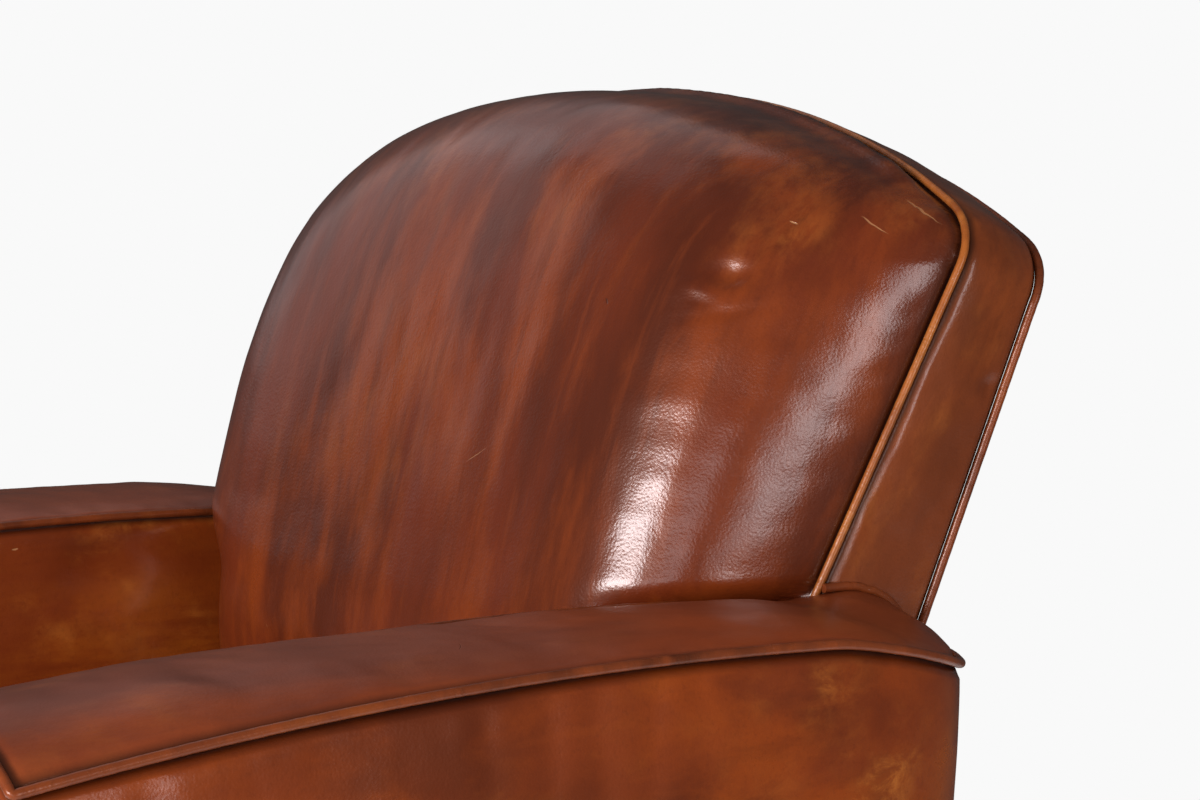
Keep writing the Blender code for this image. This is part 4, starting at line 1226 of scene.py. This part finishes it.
def inflate(piece, held, pressure, cap, frames=20, shrink=-0.02):
    # the cover swells against its sewn seams, which stay where they are
    start = pointsOf(piece.data)
    group = piece.vertex_groups.new(name="seams")
    for k in np.nonzero(held > 0.02)[0]:
        group.add([int(k)], float(held[k]), "REPLACE")
    mod = piece.modifiers.new("cloth", "CLOTH")
    mod.settings.quality = 6
    mod.settings.mass = 0.4
    mod.settings.tension_stiffness = 18
    mod.settings.compression_stiffness = 12
    mod.settings.shear_stiffness = 6
    mod.settings.bending_stiffness = 1.2
    mod.settings.shrink_min = shrink
    mod.settings.use_pressure = True
    mod.settings.uniform_pressure_force = pressure
    mod.settings.vertex_group_mass = "seams"
    mod.settings.effector_weights.gravity = 0.0
    mod.collision_settings.use_collision = False
    mod.point_cache.frame_start = 1
    mod.point_cache.frame_end = frames
    for k in range(1, frames + 1):
        bpy.context.scene.frame_set(k)
    graph = bpy.context.evaluated_depsgraph_get()
    done = pointsOf(piece.evaluated_get(graph).data)
    piece.modifiers.clear()
    piece.vertex_groups.clear()
    bpy.context.scene.frame_set(1)
    move = done - start
    size = np.linalg.norm(move, axis=1, keepdims=True)
    move = move * np.minimum(1.0, cap / np.maximum(size, 1e-9))
    piece.data.vertices.foreach_set("co", (start + move).ravel())
    piece.data.update()
    print("inflated", piece.name, "largest move mm", round(float(size.max()) * 1000, 1))


def seatCushion():
    q = seatShape
    piece = cushionBody()
    topRing = np.column_stack([cushionLoop(0.0), np.full(len(cushionLoop(0.0)), q["topSeam"])])
    lowRing = topRing * (1, 1, 0) + (0, 0, q["lowSeam"])
    points = pointsOf(piece.data)
    far = np.minimum(nearest(points, topRing), nearest(points, lowRing))
    inflate(piece, 1 - ease(far, 0.004, 0.012), q["pressure"], q["cap"])
    finer = piece.modifiers.new("finer", "SUBSURF")
    finer.levels = finer.render_levels = 1
    mesh = piece.data = bakedMesh(piece)
    points = pointsOf(mesh)
    normals = np.zeros(len(points) * 3)
    mesh.vertex_normals.foreach_get("vector", normals)
    normals = normals.reshape(-1, 3)
    far = np.minimum(nearest(points, topRing), nearest(points, lowRing))
    lift = 0.0016 * ripple(points, 0.075, 3, 71.0) + 0.0004 * ripple(points, 0.02, 3, 72.0)
    spin = np.arctan2(points[:, 1] - (q["front"] + q["rear"]) / 2, points[:, 0]) * 0.24
    lift += 0.0010 * folds(points, spin, 0.0105, 0.06, 73.0) * beside(far, 0.010, 0.014)
    lift *= ease(far, 0.002, 0.012)
    limit = np.array([q["half"] + 0.004, 9.0, 9.0])
    points = points + normals * lift[:, None]
    points = np.clip(points, -limit, limit)
    points[:, 1] = np.clip(points[:, 1], q["front"] - 0.002, q["rear"] + 0.006)
    points[:, 2] = np.clip(points[:, 2], 0.2705, 0.9)
    mesh.vertices.foreach_set("co", points.ravel())
    worn = 0.9 * (points[:, 2] > 0.37) * (0.2 + ripple(points, 0.04, 4, 74.0))
    worn += 0.8 * ease(-points[:, 1], 0.30, 0.37) * (0.3 + ripple(points, 0.03, 4, 75.0))
    setPoints(mesh, "rub", np.clip(worn, 0, 1))
    # darker beside the cushion's seams: old wax and dust, and painted shade under the cords
    setPoints(mesh, "edge", 1 - ease(far, 0.002, 0.012))
    finish(piece, seatLeather, ("cushion_top_panel", "cushion_bottom_panel", "cushion_boxing",
                                "cushion_filling"))
    piping("cushion_top_cord", topRing, ("cushion_top_piping",), True)
    piping("cushion_bottom_cord", lowRing, ("cushion_bottom_piping",), True)


seatCushion()
print("seat cushion made")


# front border, feet and underside
borderShape = {"top": 0.272, "swell": 0.0030, "tufts": 0.0006}


def frontBorder():
    a = armShape
    half = a["inside"] - 0.0006
    top = borderShape["top"]
    x = np.linspace(-half, half, 120)
    z = np.linspace(baseZ, top, 50)
    grid = np.stack(np.broadcast_arrays(x[:, None], a["frontY"] - 0.001, z[None, :]), -1).astype(float)
    swell = borderShape["swell"] * np.sin(math.pi * (z - baseZ) / (top - baseZ))
    grid[..., 1] -= swell[None, :]

    def pull(grid, far, across):
        tuft = folds(grid, grid[..., 0], 0.024, 0.07, 81.0, 2.0) * beside(far, 0.008, 0.012)
        return 0.0009 * ripple(grid, 0.05, 3, 82.0) + borderShape["tufts"] * tuft

    leatherPanel("front_border", grid, (0, -1, 0), armLeather, ("front_border_leather",), pull, "lrt",
                 lambda g: np.clip(0.9 * (0.1 + ripple(g, 0.035, 4, 83.0)), 0, 1), tuck=0.0015)


feetShape = {
    "frontX": 0.328,
    "frontY": 0.046,
    "rearX": 0.300,
    "rearY": backShape["midY"] + 0.038,
    "high": 0.1117,
    "sides": 64,
    "foot": 0.0172,            # half the rear foot at the floor
    "swell": 0.0053,
    "rake": 0.030,
    "wear": 0.0022,
}


def turnedFoot(side):
    # a short tapered foot with a bead under the rail
    f = feetShape
    profile = [(0.0, 0.0), (0.0205, 0.0), (0.0220, 0.0008), (0.0238, 0.0028), (0.0250, 0.0060)]
    profile += [(0.0250 + 0.0085 * k, 0.006 + 0.066 * k) for k in np.linspace(0.1, 1.0, 8)]
    profile += [(0.0338, 0.0735), (0.0346, 0.0765), (0.0362, 0.0785), (0.0370, 0.0825), (0.0372, 0.0880),
                (0.0370, 0.0935), (0.0364, 0.0985), (0.0360, f["high"]), (0.0, f["high"])]
    x, y = side * f["frontX"], armShape["frontY"] + f["frontY"]
    turns = [2 * math.pi * k / f["sides"] for k in range(f["sides"])]
    rings = [[(x + r * math.cos(a), y + r * math.sin(a), z) for a in turns] if r else [(x, y, z)]
             for r, z in profile]
    piece = skinned(sideName[side] + "_turned_foot", rings)
    finish(piece, stainedBeech, (sideName[side] + "_front_foot",))
    piece.data.set_sharp_from_angle(angle=math.radians(40))


def rakedFoot(side):
    f = feetShape
    rings = []
    for k in np.linspace(0, 1, 12):
        half = f["foot"] + f["swell"] * k
        x, y = side * f["rearX"], f["rearY"] + f["rake"] * (1 - k) ** 1.25
        rings.append([(x + half * a, y + half * b, f["high"] * k)
                      for a, b in ((-1, -1), (1, -1), (1, 1), (-1, 1))])
    piece = skinned(sideName[side] + "_raked_foot", rings)
    worn = piece.modifiers.new("worn edges", "BEVEL")
    worn.width = f["wear"]
    worn.segments = 3
    worn.limit_method = "ANGLE"
    worn.angle_limit = math.radians(40)
    finish(piece, stainedBeech, (sideName[side] + "_rear_foot",))
    piece.data.set_sharp_from_angle(angle=math.radians(35))


tackShape = {"spacing": 0.026, "radius": 0.0034, "height": 0.0012, "jitter": 0.0012, "seed": 4}


def tackTree():
    tree, given = startTree("tack_row", Spacing="Float", Radius="Float", Height="Float", Seed="Int")
    loose = tackShape["jitter"]
    spots = add(tree, "GeometryNodeCurveToPoints", {"Curve": given["Geometry"], "Length": given["Spacing"]},
                "Points", mode="LENGTH")
    ball = add(tree, "GeometryNodeMeshIcoSphere", {"Radius": given["Radius"], "Subdivisions": 2}, "Mesh")
    flat = add(tree, "ShaderNodeMath", {0: given["Height"], 1: given["Radius"]}, 0, operation="DIVIDE")
    squash = add(tree, "ShaderNodeCombineXYZ", {0: 1.0, 1: 1.0, 2: flat}, 0)
    head = add(tree, "GeometryNodeTransform", {"Geometry": ball, "Scale": squash}, 0)
    jitter = add(tree, "FunctionNodeRandomValue", {0: (-loose, -loose, 0.0), 1: (loose, loose, 0.0),
                                                   "Seed": given["Seed"]}, 0, data_type="FLOAT_VECTOR")
    spots = add(tree, "GeometryNodeSetPosition", {"Geometry": spots, "Offset": jitter}, 0)
    row = add(tree, "GeometryNodeInstanceOnPoints", {"Points": spots, "Instance": head}, 0)
    return endTree(tree, row, given["Material"])


def underTacks():
    z = baseZ - 0.0052
    front = armShape["frontY"] + 0.016
    rear = feetShape["rearY"] - 0.036
    outline = [(0.262, front, z), (-0.262, front, z), (-0.262, front + 0.092, z), (-0.378, front + 0.092, z),
               (-0.378, rear - 0.042, z), (-0.344, rear, z), (0.344, rear, z), (0.378, rear - 0.042, z),
               (0.378, front + 0.092, z), (0.262, front + 0.092, z)]
    piece = grown("under_tacks", outline, tackTree(), True, "POLY", Spacing=tackShape["spacing"],
                  Radius=tackShape["radius"], Height=tackShape["height"], Seed=tackShape["seed"],
                  Material=tackSteel)
    finish(piece, tackSteel, ())


frontBorder()
for side in (1, -1):
    turnedFoot(side)
    rakedFoot(side)
underTacks()
print("front, feet and underside made")


# solids that keep their own shape get their finish
def dressSolids():
    finishes = {"rail": rawBeech, "post": rawBeech, "upright": rawBeech, "webbing": juteCloth,
                "spring": springSteel, "deck": deckCloth, "dust_cover": blackCambric,
                "padding": woolWadding, "filling": featherFill,
                "foot": stainedBeech, "leather": armLeather, "panel": seatLeather, "boxing": seatLeather,
                "piping": pipingLeather}
    for name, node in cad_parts.items():
        for key, material in finishes.items():
            if key in name:
                for slot in node.material_slots:
                    slot.material = material
                break


dressSolids()


# stage, lights and camera
stageLook = {
    "floor": "#f6f5f4",
    "backdrop": "#f9f9f9",
    "reach": 2.6,
    "fade": (0.75, 1.9),       # where the floor begins and ends to melt into the backdrop
    "ambient": 0.62,
    "mirrored": 0.05,          # how bright the room is in reflections
    "lampColour": (0.95, 0.95, 1.0),
}
lamps = {  # place, what it points at, width and height, power
    "front_window": ((0.90, -3.3, 1.15), (0.1, 0.1, 0.65), (1.6, 1.1), 148),
    "front_board": ((2.6, -2.3, 0.55), (0.2, 0.1, 0.6), (1.8, 1.4), 22),
    "low_board": ((3.2, 0.05, 0.20), (0.2, 0.1, 0.6), (1.3, 0.7), 7),
    "left_window": ((-3.4, -0.6, 2.2), (0.0, 0.1, 0.6), (2.6, 2.4), 7),
    "high_window": ((-2.4, 0.7, 3.2), (0.0, 0.2, 0.8), (2.2, 2.2), 5),
    "right_window": ((3.3, 0.35, 0.85), (0.2, 0.1, 0.6), (0.7, 1.3), 17),
}
cameraLook = {"lens": 108.53, "place": (1.8549, -1.0430, 0.8838), "target": (0.10, 0.1812, 0.674)}


def stageFloor():
    mesh = bpy.data.meshes.new("studio_floor")
    count = 96
    turns = [2 * math.pi * k / count for k in range(count)]
    verts = [(0.0, 0.0, 0.0)]
    verts += [(stageLook["reach"] * math.cos(a), stageLook["reach"] * math.sin(a), 0.0) for a in turns]
    mesh.from_pydata(verts, [], [(0, k + 1, (k + 1) % count + 1) for k in range(count)])
    floor = linked("studio_floor", mesh)
    mat, tree, shader, at = startMaterial("pale_floor")
    fill(tree, shader, {"Base Color": srgb(stageLook["floor"]), "Roughness": 0.9})
    far = add(tree, "ShaderNodeVectorMath", {0: at}, "Value", operation="LENGTH")
    start, end = stageLook["fade"]
    fade = add(tree, "ShaderNodeMapRange", {0: far, 1: start, 2: end}, 0, **soft)
    clear = add(tree, "ShaderNodeBsdfTransparent", out=0)
    both = add(tree, "ShaderNodeMixShader", {0: fade, 1: shader.outputs[0], 2: clear}, 0)
    fill(tree, tree.nodes["Material Output"], {"Surface": both})
    mesh.materials.append(mat)


def studioWorld():
    world = bpy.data.worlds.new("studio")
    bpy.context.scene.world = world
    world.use_nodes = True
    tree = world.node_tree
    tree.nodes.clear()
    ray = add(tree, "ShaderNodeLightPath").outputs
    seen, lit, dim = [add(tree, "ShaderNodeBackground", {"Color": colour, "Strength": strength}, 0)
                      for colour, strength in ((srgb(stageLook["backdrop"]), 1.0),
                                               (srgb("#ffffff"), stageLook["ambient"]),
                                               (srgb("#ffffff"), stageLook["mirrored"]))]
    lit = add(tree, "ShaderNodeMixShader", {0: ray["Is Glossy Ray"], 1: lit, 2: dim}, 0)
    both = add(tree, "ShaderNodeMixShader", {0: ray["Is Camera Ray"], 1: lit, 2: seen}, 0)
    add(tree, "ShaderNodeOutputWorld", {0: both})


def aimed(name, data, at, target):
    piece = linked(name, data)
    piece.location = at
    piece.rotation_euler = (Vector(target) - Vector(at)).to_track_quat("-Z", "Y").to_euler()
    return piece


def softbox(name, at, target, size, power):
    data = bpy.data.lights.new(name, "AREA")
    data.shape = "RECTANGLE"
    data.size, data.size_y = size
    data.energy = power
    data.color = stageLook["lampColour"]
    aimed(name, data, at, target).visible_camera = False


def camera():
    data = bpy.data.cameras.new("camera")
    data.sensor_width = 36.0
    data.lens = cameraLook["lens"]
    data.clip_start = 0.01
    bpy.context.scene.camera = aimed("camera", data, cameraLook["place"], cameraLook["target"])


stageFloor()
studioWorld()
for name, values in lamps.items():
    softbox(name, *values)
camera()
bpy.context.scene.view_settings.view_transform = "Standard"
print("studio set")
